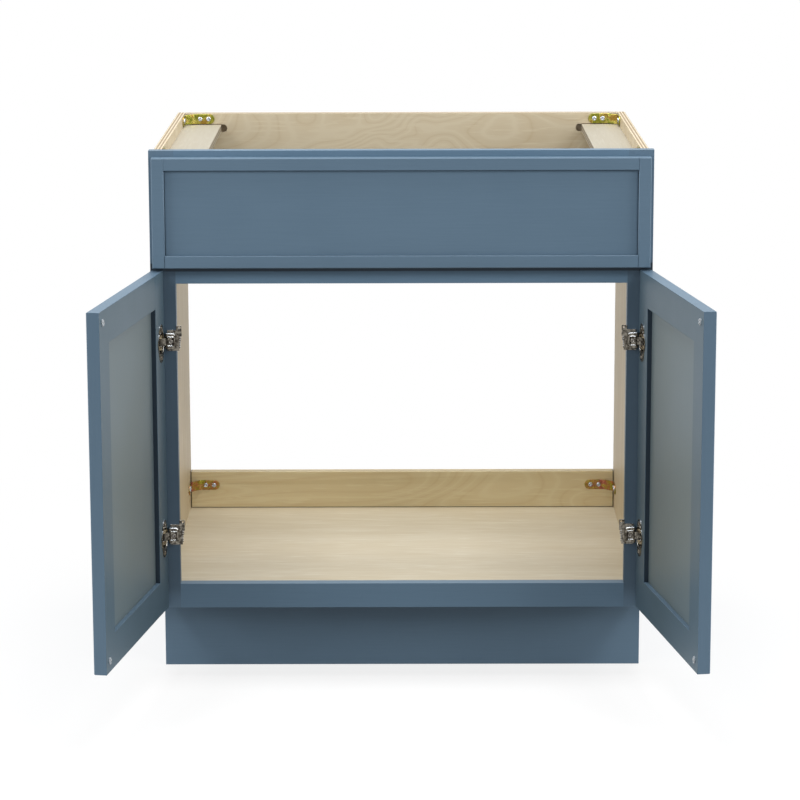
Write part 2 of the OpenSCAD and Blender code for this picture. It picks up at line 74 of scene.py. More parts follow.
LOG = logging.getLogger("vanity_cabinet")
MM = 0.001
MERGE_DISTANCE = 1e-6
TOUCH_DISTANCE = 5e-5
FLAT_ANGLE = math.radians(0.3)
CRISP_ANGLE = 40.0
FAR = 9.0
Array = np.ndarray
Rgb = tuple[float, float, float]


class Axis(Enum):
    """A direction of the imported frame."""

    X = 0
    Y = 1
    Z = 2


class Side(Enum):
    """A side of the cabinet, with the sign of its X."""

    LEFT = -1
    RIGHT = 1

    @property
    def word(self) -> str:
        """The side's name as the nodes spell it."""
        return self.name.lower()


class Level(Enum):
    """Which of a door's two hinges is meant, as the nodes spell it."""

    TOP = "top"
    LOW = "low"


def paint_value(red: int, green: int, blue: int) -> Rgb:
    """Turns a screen colour of 0 to 255 into the linear numbers that a shader takes.

    Args:
        red: Red part.
        green: Green part.
        blue: Blue part.

    Returns:
        The three linear parts, by the usual screen curve.
    """
    parts = np.array([red, green, blue]) / 255
    linear = np.where(parts <= 0.04045, parts / 12.92, ((parts + 0.055) / 1.055) ** 2.4)
    return tuple(float(part) for part in linear)


def tints(*colours: tuple[int, int, int]) -> tuple[Rgb, ...]:
    """Several screen colours as shader colours."""
    return tuple(paint_value(*colour) for colour in colours)


@dataclass(frozen=True)
class Box:
    """A box of space in metres, open on every side that isn't given.

    Its strength is 0 to 1, and its sides fade over the width that is called soft.
    """

    low: tuple[float, float, float] = (-FAR, -FAR, -FAR)
    high: tuple[float, float, float] = (FAR, FAR, FAR)
    strength: float = 0.8
    soft: float = 0.0003


# Shaders


class Value:
    """A number in a shader. Arithmetic on it adds Math nodes."""

    def __init__(self, shader: "Shader", socket: bpy.types.NodeSocket) -> None:
        """Keeps the socket and the shader it belongs to."""
        self.shader = shader
        self.socket = socket

    def math(self, operation: str, *terms: "Value | float") -> "Value":
        """Adds one Math node.

        Args:
            operation: The node's operation.
            terms: Its inputs in order.

        Returns:
            The node's result.
        """
        made = self.shader.node("ShaderNodeMath", {"operation": operation}, dict(enumerate(terms)))
        return Value(self.shader, made.outputs[0])

    def __add__(self, other: "Value | float") -> "Value":
        """The sum."""
        return self.math("ADD", self, other)

    __radd__ = __add__

    def __sub__(self, other: "Value | float") -> "Value":
        """The difference."""
        return self.math("SUBTRACT", self, other)

    def __rsub__(self, other: float) -> "Value":
        """A number less this value."""
        return self.math("SUBTRACT", other, self)

    def __mul__(self, other: "Value | float") -> "Value":
        """The product."""
        return self.math("MULTIPLY", self, other)

    __rmul__ = __mul__

    def __pow__(self, other: float) -> "Value":
        """The power."""
        return self.math("POWER", self, other)

    def __abs__(self) -> "Value":
        """The size without its sign."""
        return self.math("ABSOLUTE", self)

    def fraction(self) -> "Value":
        """What is left over from the whole number below."""
        return self.math("FRACT", self)

    def kept_in(self, low: float, high: float) -> "Value":
        """The value, held between two limits."""
        return self.math("MINIMUM", self.math("MAXIMUM", self, low), high)

    def rise(self, low: float, high: float) -> "Value":
        """A smooth rise of the value, from 0 to 1.

        Args:
            low: Where the rise starts.
            high: Where it ends.

        Returns:
            The risen value.
        """
        made = self.shader.node(
            "ShaderNodeMapRange",
            {"interpolation_type": "SMOOTHSTEP"},
            {"Value": self, "From Min": low, "From Max": high},
        )
        return Value(self.shader, made.outputs[0])


class Shader:
    """The node tree of one material, or of a world."""

    def __init__(self, name: str, world: bpy.types.World | None = None) -> None:
        """Starts an empty tree with its output.

        Args:
            name: The new material's name.
            world: The world whose tree is meant, where there is no material.
        """
        self.material = world or bpy.data.materials.new(name)
        self.material.use_nodes = True
        self.tree = self.material.node_tree
        self.tree.nodes.clear()
        self.output = self.tree.nodes.new("ShaderNodeOutput" + ("World" if world else "Material"))

    def node(self, kind: str, settings: dict | None = None, inputs: dict | None = None) -> bpy.types.Node:
        """Adds any node.

        Args:
            kind: The node's type.
            settings: Its settings; "stops" are a ramp's positions and colours.
            inputs: Values or links of its sockets, by name or number.

        Returns:
            The node.
        """
        made = self.tree.nodes.new(kind)
        for name, value in (settings or {}).items():
            if name != "stops":
                setattr(made, name, value)
                continue
            elements = made.color_ramp.elements
            while len(elements) < len(value):
                elements.new(0.5)
            for element, (place, colour) in zip(elements, value):
                element.position = place
                element.color = (*colour, 1)
        for key, value in (inputs or {}).items():
            source = value.socket if isinstance(value, Value) else value
            if isinstance(source, bpy.types.NodeSocket):
                self.tree.links.new(source, made.inputs[key])
            else:
                made.inputs[key].default_value = source
        return made

    def place(self, turn: float = 0.0) -> bpy.types.NodeSocket:
        """The point's place on the object, turned about Z.

        Args:
            turn: Angle in radians by which the pattern is turned.

        Returns:
            The vector socket.
        """
        coordinates = self.node("ShaderNodeTexCoord").outputs["Object"]
        if not turn:
            return coordinates
        mapping = self.node(
            "ShaderNodeMapping", {"vector_type": "TEXTURE"}, {"Vector": coordinates, "Rotation": (0, 0, turn)}
        )
        return mapping.outputs[0]

    def part(self, vector: bpy.types.NodeSocket, axis: Axis) -> Value:
        """One coordinate of a vector."""
        return Value(self, self.node("ShaderNodeSeparateXYZ", None, {0: vector}).outputs[axis.value])

    def within(self, vector: bpy.types.NodeSocket, box: Box) -> Value:
        """1 inside a box and 0 outside it, with soft sides.

        Args:
            vector: The point's place.
            box: The box.

        Returns:
            The value.
        """
        inside = Value(self, self.node("ShaderNodeValue").outputs[0])
        inside.socket.default_value = 1.0
        for axis in Axis:
            low, high = box.low[axis.value], box.high[axis.value]
            at = self.part(vector, axis)
            if low > -FAR:
                inside = inside * at.rise(low - box.soft, low)
            if high < FAR:
                inside = inside * (1 - at.rise(high, high + box.soft))
        return inside

    def facing(self, side: tuple[float, float, float]) -> Value:
        """How far the surface looks along a direction, as the cosine of the angle between them.

        Args:
            side: The direction, one unit long.

        Returns:
            The cosine.
        """
        normal = self.node("ShaderNodeNewGeometry").outputs["Normal"]
        product = self.node("ShaderNodeVectorMath", {"operation": "DOT_PRODUCT"}, {0: normal, 1: side})
        return Value(self, product.outputs["Value"])

    def noise(
        self,
        vector: bpy.types.NodeSocket,
        scale: float,
        detail: float = 2.0,
        bend: float = 0.0,
        along: Axis | None = None,
        pace: float = 1.0,
    ) -> Value:
        """Smooth random values of about 0.3 to 0.7.

        Args:
            vector: Where it is read.
            scale: Lumps per metre.
            detail: Number of finer layers.
            bend: How much the pattern bends itself.
            along: The direction in which its lumps are drawn out, if any.
            pace: What is left of the scale along that direction.

        Returns:
            The value.
        """
        if along is not None:
            paces = [pace if axis is along else 1.0 for axis in Axis]
            terms = {0: vector, 1: paces}
            vector = self.node("ShaderNodeVectorMath", {"operation": "MULTIPLY"}, terms).outputs[0]
        inputs = {"Vector": vector, "Scale": scale, "Detail": detail, "Distortion": bend}
        return Value(self, self.node("ShaderNodeTexNoise", None, inputs).outputs["Fac"])

    def blend(
        self,
        share: "Value | float",
        first: bpy.types.NodeSocket | Rgb,
        second: bpy.types.NodeSocket | Rgb,
    ) -> bpy.types.NodeSocket:
        """Mixes two colours, through the colour sockets of a Mix node: 6 and 7 in, and 2 out.

        Args:
            share: How much of the second there is.
            first: The colour at 0.
            second: The colour at 1.

        Returns:
            The mixed colour.
        """
        colours = [(*value, 1) if isinstance(value, tuple) else value for value in (first, second)]
        inputs = {0: share, 6: colours[0], 7: colours[1]}
        return self.node("ShaderNodeMix", {"data_type": "RGBA"}, inputs).outputs[2]

    def bump(self, height: Value, distance: float) -> bpy.types.NodeSocket:
        """A normal that follows a height given as 0 to 1.

        Args:
            height: The height.
            distance: What a height of 1 stands for, in metres.

        Returns:
            The normal.
        """
        inputs = {"Height": height, "Distance": distance}
        return self.node("ShaderNodeBump", None, inputs).outputs[0]

    def surface(self, **sockets: "Value | bpy.types.NodeSocket | float") -> bpy.types.Material:
        """Ends the tree with a Principled shader.

        Args:
            sockets: Its inputs, with an underscore for each space.

        Returns:
            The finished material.
        """
        inputs = {name.replace("_", " "): value for name, value in sockets.items()}
        made = self.node("ShaderNodeBsdfPrincipled", None, inputs)
        self.tree.links.new(made.outputs[0], self.output.inputs["Surface"])
        return self.material


@dataclass(frozen=True)
class PaintFinish:
    """Satin sprayed paint over wood, with faint grain under it and a fine spray texture.

    Painted shadow gathers in the boxes. Faces that look along the reflection side take a painted, greyer
    reflection.
    Scales are lumps per metre, a pace is what is left of a scale along the grain, and depth is the
    height of the texture in metres. The tone is clouds for cloud_share and grain for the rest.
    """

    name: str
    grain: Axis = Axis.Z
    turn: float = 0.0
    colour: Rgb = paint_value(94, 117, 136)
    light: Rgb = paint_value(99, 122, 141)
    dark: Rgb = paint_value(89, 112, 131)
    shadow: Rgb = paint_value(26, 36, 46)
    boxes: tuple[Box, ...] = ()
    # A painted reflection: the side, the tint and the share of the greyer sheen on faces that look into the
    # cabinet.
    thin_side: tuple[float, float, float] | None = None
    thin: Rgb = paint_value(106, 116, 114)
    thin_share: float = 0.7
    cloud_scale: float = 5.0
    cloud_share: float = 0.7
    grain_scale: float = 520.0
    grain_pace: float = 0.03
    spray_scale: float = 1500.0
    spray_share: float = 0.55
    roughness: float = 0.36
    specular: float = 0.28
    depth: float = 0.00006

    def coat(self, shader: Shader) -> tuple[bpy.types.NodeSocket, Value, Value]:
        """Works out the coat on a shader.

        Args:
            shader: The shader that takes it.

        Returns:
            Its colour, roughness and height.
        """
        place = shader.place(self.turn)
        cloud = shader.noise(place, self.cloud_scale, 3.0)
        grain = shader.noise(place, self.grain_scale, along=self.grain, pace=self.grain_pace)
        spray = shader.noise(place, self.spray_scale, 1.0)
        tone = (self.cloud_share * cloud + (1 - self.cloud_share) * grain).rise(0.3, 0.7)
        colour = shader.blend(tone, self.dark, self.light)
        colour = shader.blend(0.5, colour, self.colour)
        # Painted reflection: faces that look into the cabinet's middle take a greyer tint that stands in for
        # a reflection.
        if self.thin_side is not None:
            share = shader.facing(self.thin_side).rise(0.6, 0.9)
            colour = shader.blend(share * (self.thin_share - 0.25 + cloud * 0.5), colour, self.thin)
        for box in self.boxes:
            colour = shader.blend(shader.within(place, box) * box.strength, colour, self.shadow)
        roughness = self.roughness + 0.12 * cloud + 0.05 * grain
        return colour, roughness, (1 - self.spray_share) * grain + self.spray_share * spray

    def material(self) -> bpy.types.Material:
        """The finish as a material.

        Returns:
            The material.
        """
        shader = Shader(self.name)
        colour, roughness, height = self.coat(shader)
        return shader.surface(
            Base_Color=colour,
            Roughness=roughness,
            Specular_IOR_Level=self.specular,
            Normal=shader.bump(height, self.depth),
        )


@dataclass(frozen=True)
class BirchFinish:
    """Clear-coated birch plywood: rotary-cut figure on the faces and plies at the edges.

    The plies lie between low and high along the thickness. Scales are lumps per metre, and a pace or
    a length is what is left of a scale along the grain. A share is how much a layer of the figure
    changes the tone. From the distance that painted_from gives, either side of the middle, the face
    is painted.
    """

    name: str
    grain: Axis
    thickness: Axis
    low: float
    high: float
    plies: int
    pale: Rgb = paint_value(218, 206, 180)
    tan: Rgb = paint_value(192, 170, 132)
    figure: float = 0.12
    rings: float = 9.0
    ring_power: float = 3.0
    pale_power: float = 6.0
    pale_share: float = 1.3
    length: float = 0.2
    streaks: float = 0.55
    streak_length: float = 0.06
    curl: float = 0.0
    # The colour of the painted shade in the boxes.
    box_tone: Rgb = paint_value(52, 38, 26)
    cross_ply: Rgb = paint_value(118, 98, 74)
    glue: Rgb = paint_value(88, 70, 50)
    ply_contrast: float = 0.595
    glue_contrast: float = 0.5
    ring_scale: float = 5.0
    streak_scale: float = 70.0
    fibre_scale: float = 900.0
    fibre_pace: float = 0.02
    fibre_share: float = 0.3
    fleck_scale: float = 260.0
    fleck_pace: float = 0.08
    fleck_share: float = 0.3
    cloud_scale: float = 2.6
    cloud_share: float = 0.5
    base_tone: float = 0.28
    pore_scale: float = 1500.0
    pore_share: float = 0.3
    specular: float = 0.4
    depth: float = 0.00008
    seed: float = 0.0
    painted_from: float | None = None
    coat_edge: float = 0.0004
    boxes: tuple[Box, ...] = ()

    def _figure(self, shader: Shader, place: bpy.types.NodeSocket) -> tuple[Value, Value]:
        """The figure of the face veneer.

        Contour lines of a smooth field, drawn out along the grain, stand for the growth rings that a
        rotary cut lays open. Fine fibres and short flecks run along the grain.

        Args:
            shader: The shader.
            place: The point's place.

        Returns:
            How dark the veneer is, and the height of its fibres.
        """
        ring_field = shader.noise(place, self.ring_scale, 1.5, 0.8, self.grain, self.length)
        ring = abs((ring_field * self.rings).fraction() * 2 - 1)
        dark_ring, pale_ring = ring**self.ring_power, (1 - ring) ** self.pale_power
        streak = shader.noise(place, self.streak_scale, 3.0, self.curl, self.grain, self.streak_length)
        fibre = shader.noise(place, self.fibre_scale, along=self.grain, pace=self.fibre_pace)
        fleck = shader.noise(place, self.fleck_scale, 1.0, 0.4, self.grain, self.fleck_pace).rise(0.56, 0.72)
        cloud = shader.noise(place, self.cloud_scale)
        rings = self.figure * (dark_ring - self.pale_share * pale_ring)
        tone = rings + self.streaks * streak + self.fibre_share * fibre + self.cloud_share * cloud
        tone = tone - self.base_tone - self.fleck_share * fleck
        return tone.kept_in(0.0, 1.0), fibre

    def material(self) -> bpy.types.Material:
        """The finish as a material.

        Returns:
            The material.
        """
        shader = Shader(self.name)
        coordinates = shader.place()
        terms = {0: coordinates, 1: (self.seed,) * 3}
        moved = shader.node("ShaderNodeVectorMath", {"operation": "ADD"}, terms).outputs[0]
        tone, fibre = self._figure(shader, moved)
        across = shader.part(coordinates, self.thickness)
        layer = ((across - self.low) * (self.plies / (self.high - self.low))).kept_in(0.3, self.plies - 0.3)
        crosswise = (layer * 0.5).fraction().rise(0.47, 0.53)
        crosswise = crosswise * (1 - (layer * 0.5).fraction().rise(0.97, 1.0))
        glue = abs(layer.fraction() - 0.5).rise(0.42, 0.48)
        pores = shader.noise(moved, self.pore_scale)
        edge = crosswise * (self.ply_contrast + self.pore_share * pores)
        colour = shader.blend(tone, self.pale, self.tan)
        colour = shader.blend(edge, colour, self.cross_ply)
        colour = shader.blend(self.glue_contrast * glue, colour, self.glue)
        # Painted shade: each box darkens the veneer toward the shade colour, in the gaps and grooves where
        # shade falls.
        for box in self.boxes:
            colour = shader.blend(shader.within(coordinates, box) * box.strength, colour, self.box_tone)
        roughness = 0.42 + 0.14 * fibre + 0.2 * crosswise
        height = 0.6 * fibre + 0.4 * (crosswise * pores)
        if self.painted_from is not None:
            start = self.painted_from - self.coat_edge
            painted = abs(across).rise(start, start + self.coat_edge / 2)
            coat_colour, coat_roughness, coat_height = PaintFinish(self.name + "_coat").coat(shader)
            colour = shader.blend(painted, colour, coat_colour)
            roughness = roughness * (1 - painted) + coat_roughness * painted
            height = height * (1 - painted) + coat_height * painted
        return shader.surface(
            Base_Color=colour,
            Roughness=roughness,
            Specular_IOR_Level=self.specular,
            Normal=shader.bump(height, self.depth),
        )


@dataclass(frozen=True)
class PlatedFinish:
    """Plated steel: patches of tint in the plating, soft smudges and fine rubbed lines.

    Where it looks up, the plating takes a painted reflection of a bright ceiling.
    """

    name: str
    tints: tuple[Rgb, ...]
    roughness: float
    patch: float = 90.0
    upper: Rgb | None = None
    lines: Axis = Axis.Z
    line_pace: float = 0.04
    smudge_scale: float = 260.0
    rubbed_scale: float = 2600.0
    depth: float = 0.00003

    def material(self) -> bpy.types.Material:
        """The finish as a material.

        Returns:
            The material.
        """
        shader = Shader(self.name)
        place = shader.place()
        patches = shader.noise(place, self.patch, 1.5, 0.6).rise(0.34, 0.66)
        smudge = shader.noise(place, self.smudge_scale, 3.0)
        rubbed = shader.noise(place, self.rubbed_scale, 1.0, along=self.lines, pace=self.line_pace)
        last = len(self.tints) - 1
        stops = [(index / last, tint) for index, tint in enumerate(self.tints)]
        colour = shader.node("ShaderNodeValToRGB", {"stops": stops}, {0: patches}).outputs[0]
        # Painted reflection: faces that look up are lightened toward the ceiling's colour.
        if self.upper is not None:
            colour = shader.blend(shader.facing((0.0, 0.0, 1.0)).rise(0.2, 0.8), colour, self.upper)
        return shader.surface(
            Base_Color=colour,
            Metallic=1.0,
            Roughness=self.roughness + 0.16 * smudge - 0.08,
            Normal=shader.bump(0.6 * rubbed + 0.4 * smudge, self.depth),
        )


@dataclass(frozen=True)
class ClearFinish:
    """Clear soft plastic, a little milky, with dust on it."""

    name: str
    dust_scale: float = 420.0
    shade: Rgb = paint_value(222, 230, 236)
    pale: Rgb = paint_value(240, 244, 247)
    depth: float = 0.00002

    def material(self) -> bpy.types.Material:
        """The finish as a material.

        Returns:
            The material.
        """
        shader = Shader(self.name)
        dust = shader.noise(shader.place(), self.dust_scale)
        return shader.surface(
            Base_Color=shader.blend(dust.rise(0.35, 0.65), self.shade, self.pale),
            Roughness=0.14 + 0.12 * dust,
            Transmission_Weight=0.65,
            IOR=1.46,
            Normal=shader.bump(dust, self.depth),
        )


HIGH_ZINC_TINTS = tints((170, 166, 74), (128, 134, 48), (196, 186, 98), (160, 130, 62))
LOW_ZINC_TINTS = tints((158, 152, 62), (176, 116, 86), (176, 160, 80), (170, 104, 88))
# The colour of the painted reflection on the upward faces of the hinge plating.
GLINT = paint_value(226, 230, 234)
YELLOW_ZINC = PlatedFinish("yellow_zinc", HIGH_ZINC_TINTS, 0.28, 60.0)
RED_ZINC = PlatedFinish("red_zinc", LOW_ZINC_TINTS, 0.28, 60.0)
BRIGHT_ZINC = PlatedFinish("bright_zinc", tints((206, 212, 222), (178, 186, 200)), 0.24, 300.0)
NICKEL = PlatedFinish("nickel_plate", tints((150, 146, 140), (104, 98, 92)), 0.22, 160.0)
# The arm's and cups' nickel is darker than plain nickel, with strong patches: partly plating tints and partly
# painted dark reflections of the surroundings.
ARM_NICKEL = PlatedFinish("arm_nickel", tints((134, 129, 119), (60, 56, 50)), 0.24, 260.0, upper=GLINT)
CUP_NICKEL = PlatedFinish("cup_nickel", tints((160, 148, 121), (74, 64, 52)), 0.26, 220.0, upper=GLINT)
CLEAR = ClearFinish("clear_plastic")


# Shapes


@dataclass(frozen=True)
class Place:
    """Where a small shape goes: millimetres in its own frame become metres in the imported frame."""

    origin: Array
    turn: Array

    def __call__(self, points: Array) -> Array:
        """Brings points of any array shape (..., 3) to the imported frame."""
        return points @ self.turn.T * MM + self.origin

    def on(self, origin: Array, columns: Array) -> "Place":
        """A place inside this one.

        Args:
            origin: Its origin in this frame, in millimetres.
            columns: Its three axes in this frame, as the columns of a matrix.

        Returns:
            The inner place.
        """
        return Place(self(np.asarray(origin, float)), self.turn @ columns)


def turned_axes(forward: Array) -> Array:
    """Three square axes, as the columns of a matrix, the third along a direction.

    Args:
        forward: The direction of the third axis.

    Returns:
        The matrix.
    """
    third = np.asarray(forward, float) / np.linalg.norm(forward)
    helper = np.array([0.0, 0.0, 1.0]) if abs(third[2]) < 0.9 else np.array([1.0, 0.0, 0.0])
    first = np.cross(helper, third)
    first /= np.linalg.norm(first)
    return np.stack([first, np.cross(third, first), third], axis=1)


def spin(angle: float) -> Array:
    """A turn about the third axis, as a matrix.

    Args:
        angle: The angle in radians.

    Returns:
        The matrix.
    """
    cos, sin = math.cos(angle), math.sin(angle)
    return np.array([[cos, -sin, 0.0], [sin, cos, 0.0], [0.0, 0.0, 1.0]])


def circle(count: int) -> Array:
    """Points (count, 2) round a circle of radius 1: cos a and sin a."""
    angle = np.linspace(0, 2 * np.pi, count, endpoint=False)
    return np.stack([np.cos(angle), np.sin(angle)], axis=-1)


@dataclass
class Shell:
    """Points and faces of closed surfaces, gathered before they become one mesh."""

    points: list[Array] = field(default_factory=list)
    faces: list[list[int]] = field(default_factory=list)
    count: int = 0

    def add(self, points: Array, faces: list[list[int]]) -> None:
        """Adds points and faces.

        Args:
            points: The points (n, 3).
            faces: Faces that number these points from 0.
        """
        self.points.append(points)
        self.faces.extend([[index + self.count for index in face] for face in faces])
        self.count += len(points)

    def sheet(self, points: Array, close_rows: bool = False, close_columns: bool = False) -> None:
        """Adds a grid of points as quads.

        Each quad joins a point with the next in its row and the two below them; on a closed side the
        last joins the first.

        Args:
            points: Array (rows, columns, 3).
            close_rows: The last row joins the first.
            close_columns: The last column joins the first.
        """
        rows, columns = points.shape[:2]
        row = np.arange(rows if close_rows else rows - 1)[:, None]
        column = np.arange(columns if close_columns else columns - 1)[None, :]
        below, beside = (row + 1) % rows, (column + 1) % columns
        above, under = row * columns, below * columns
        corners = [above + column, above + beside, under + beside, under + column]
        faces = np.stack([np.broadcast_to(corner, (row.size, column.size)) for corner in corners], axis=-1)
        self.add(points.reshape(-1, 3), faces.reshape(-1, 4).tolist())

    def slab(self, outline: Array, low: float, high: float, place: Place) -> None:
        """Adds a flat slab: an outline in the frame's X and Y, carried from one Z to another.

        Args:
            outline: Points (n, 2), in millimetres.
            low: The Z of one face.
            high: The Z of the other.
            place: Where the slab goes.
        """
        rings = np.stack([np.column_stack([outline, np.full(len(outline), z)]) for z in (low, high)])
        self.sheet(place(rings), close_columns=True)
        first = self.count - 2 * len(outline)
        self.faces.append(list(range(first, first + len(outline)))[::-1])
        self.faces.append(list(range(first + len(outline), self.count)))

    def dressed(self, name: str, material: bpy.types.Material, body: str, slot: str, *nodes: str) -> None:
        """Makes the surfaces into a finished piece: doubles merged, normals outwards, shaded and dressed.

        Args:
            name: The piece's name.
            material: Its material.
            body: The body that it rides on.
            slot: The record's material slot.
            nodes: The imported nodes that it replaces.
        """
        mesh = bpy.data.meshes.new(name)
        mesh.from_pydata(np.concatenate(self.points).tolist(), [], self.faces)
        work = bmesh.new()
        work.from_mesh(mesh)
        bmesh.ops.remove_doubles(work, verts=work.verts, dist=MERGE_DISTANCE)
        bmesh.ops.dissolve_degenerate(work, edges=work.edges, dist=MERGE_DISTANCE)
        bmesh.ops.recalc_face_normals(work, faces=work.faces)
        work.to_mesh(mesh)
        work.free()
        piece = placed(name, mesh)
        smooth_by_angle(piece, CRISP_ANGLE)
        dress(piece, material, body, slot, *nodes)


def placed(name: str, data: bpy.types.ID) -> bpy.types.Object:
    """Puts a mesh, a lamp or a camera in the scene as an object, at the origin.

    Args:
        name: The object's name.
        data: The mesh, lamp or camera.

    Returns:
        The object.
    """
    made = bpy.data.objects.new(name, data)
    bpy.context.scene.collection.objects.link(made)
    return made


def smooth_by_angle(piece: bpy.types.Object, degrees: float) -> None:
    """Shades a piece smooth, with its edges sharper than an angle kept crisp."""
    piece.data.shade_smooth()
    piece.data.set_sharp_from_angle(angle=math.radians(degrees))


def dress(piece: bpy.types.Object, material: bpy.types.Material, body: str, slot: str, *nodes: str) -> None:
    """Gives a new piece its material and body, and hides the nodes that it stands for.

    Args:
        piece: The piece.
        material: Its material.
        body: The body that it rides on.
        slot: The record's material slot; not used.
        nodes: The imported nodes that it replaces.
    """
    piece.data.materials.clear()
    piece.data.materials.append(material)
    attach(piece, body)
    if nodes:
        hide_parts(*nodes)
    LOG.info("%s: %d faces on %s", piece.name, len(piece.data.polygons), body)


def wear_finish(node: str, material: bpy.types.Material) -> None:
    """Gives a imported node, whose shape is right as it is, a better material.

    Args:
        node: The node.
        material: The material.
    """
    mesh = frame["nodes"][node].data
    mesh.materials.clear()
    mesh.materials.append(material)
    LOG.info("%s keeps its packed shape", node)


@dataclass(frozen=True)
class EasedBoard:
    """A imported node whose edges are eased, as a cutter and sandpaper leave them.

    An edge that lies on a node that the board is glued to stays as it is, so that the joint is filled.
    With no easing the faces stay flat.
    """

    node: str
    slot: str
    ease: float = 0.0004
    sharper_than: float = 35.0
    glued_to: tuple[str, ...] = ()
    rounds: int = 2
    spots: tuple[float, ...] = (0.04, 0.27, 0.5, 0.73, 0.96)

    def _weights(self, work: bmesh.types.BMesh) -> Array:
        """How far each edge is eased: 1 for a sharp free edge, and otherwise 0.

        An edge is glued where any of a few spots along it touches one of the glued nodes.

        Args:
            work: The board's mesh, with its edges in order.

        Returns:
            Array (edges,).
        """
        others = [frame["nodes"][name].data for name in self.glued_to]
        trees = [
            BVHTree.FromPolygons([v.co for v in other.vertices], [p.vertices[:] for p in other.polygons])
            for other in others
        ]
        limit = math.radians(self.sharper_than)
        weights = np.zeros(len(work.edges))
        for index, edge in enumerate(work.edges):
            if len(edge.link_faces) != 2 or edge.calc_face_angle() < limit:
                continue
            first, last = (vertex.co for vertex in edge.verts)
            touches = any(
                tree.find_nearest(first.lerp(last, spot), TOUCH_DISTANCE)[0] is not None
                for tree in trees
                for spot in self.spots
            )
            weights[index] = 0.0 if touches else 1.0
        return weights

    def make(self, material: bpy.types.Material) -> None:
        """Builds the board: a merged copy of the node, its flat faces joined, its edges bevelled.

        Args:
            material: The board's material.
        """
        source = frame["nodes"][self.node]
        mesh = source.data.copy()
        work = bmesh.new()
        work.from_mesh(mesh)
        bmesh.ops.remove_doubles(work, verts=work.verts, dist=MERGE_DISTANCE)
        bmesh.ops.dissolve_limit(work, angle_limit=FLAT_ANGLE, verts=work.verts, edges=work.edges)
        work.edges.ensure_lookup_table()
        weights = self._weights(work)
        work.to_mesh(mesh)
        work.free()
        mesh.attributes.new("bevel_weight_edge", "FLOAT", "EDGE").data.foreach_set("value", weights)
        piece = placed(self.node + "_dressed", mesh)
        if self.ease:
            smooth_by_angle(piece, self.sharper_than)
            bevel = piece.modifiers.new("eased_edges", "BEVEL")
            bevel.width = self.ease
            bevel.segments = self.rounds
            bevel.limit_method = "WEIGHT"
            bevel.harden_normals = True
        dress(piece, material, source["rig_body"], self.slot, self.node)


@dataclass(frozen=True)
class CrossScrew:
    """A pan-head screw with a cross recess, in millimetres. Its head looks along +Z from its seat."""

    head_r: float
    head_h: float
    shank_r: float
    length: float
    rim_share: float = 0.42
    cross_reach: float = 0.56
    cross_width: float = 0.13
    cross_depth: float = 0.75
    cross_wall: float = 0.09
    cross_taper: float = 0.55
    tip_share: float = 1.6
    point_share: float = 0.3
    roundness: float = 0.98

    def _top(self) -> Array:
        """The head's top.

        A square grid of a and b from -1 to 1 is bent to a disc: x = a sqrt(1 - b^2/2) and
        y = b sqrt(1 - a^2/2). The height is a dome less the cross, which is deepest in the middle.

        Returns:
            Points (n, n, 3).
        """
        inner = (0.0, 0.07, self.cross_width, 0.21, 0.34, 0.46)
        outer = (self.cross_reach, 0.68, 0.82, 0.93, 1.0)
        half = np.array(inner + outer)
        line = np.concatenate([-half[:0:-1], half])
        a, b = np.meshgrid(line, line, indexing="ij")
        x, y = a * np.sqrt(1 - b**2 / 2), b * np.sqrt(1 - a**2 / 2)
        curve = np.sqrt(np.clip(1 - self.roundness * (x**2 + y**2), 0, 1))
        dome = self.rim_share + (1 - self.rim_share) * curve

        def band(values: Array, edge: float) -> Array:
            """1 inside an edge, falling to 0 just past it."""
            return np.clip((edge + self.cross_wall - np.abs(values)) / self.cross_wall, 0, 1)

        arms = np.maximum(
            band(a, self.cross_width) * band(b, self.cross_reach),
            band(b, self.cross_width) * band(a, self.cross_reach),
        )
        reach = np.maximum(np.abs(a), np.abs(b)) / self.cross_reach
        depth = self.cross_depth * (1 - self.cross_taper * np.clip(reach, 0, 1))
        height = self.head_h * (dome - arms * depth)
        return np.stack([x * self.head_r, y * self.head_r, height], axis=-1)

    def add_to(self, shell: Shell, place: Place) -> None:
        """Adds the screw: the top, then rings carried down its side, under the head and the shank.

        Args:
            shell: The shell that takes it.
            place: Where its seat is, with the head along the third axis.
        """
        top = self._top()
        shell.sheet(place(top))
        edge = np.concatenate([top[0, :-1], top[:-1, -1], top[-1, :0:-1], top[:0:-1, 0]])
        round_xy = edge[:, :2] / self.head_r
        tip = self.shank_r * self.tip_share
        point = self.shank_r * self.point_share
        radii = [self.head_r, self.head_r, self.shank_r, self.shank_r, point, 0.0]
        heights = [edge[:, 2], 0.0, 0.0, -self.length + tip, -self.length, -self.length]
        rings = [
            np.column_stack([round_xy * radius, np.broadcast_to(height, len(edge))])
            for radius, height in zip(radii, heights)
        ]
        shell.sheet(place(np.stack(rings)), close_columns=True)


# Sub-assemblies


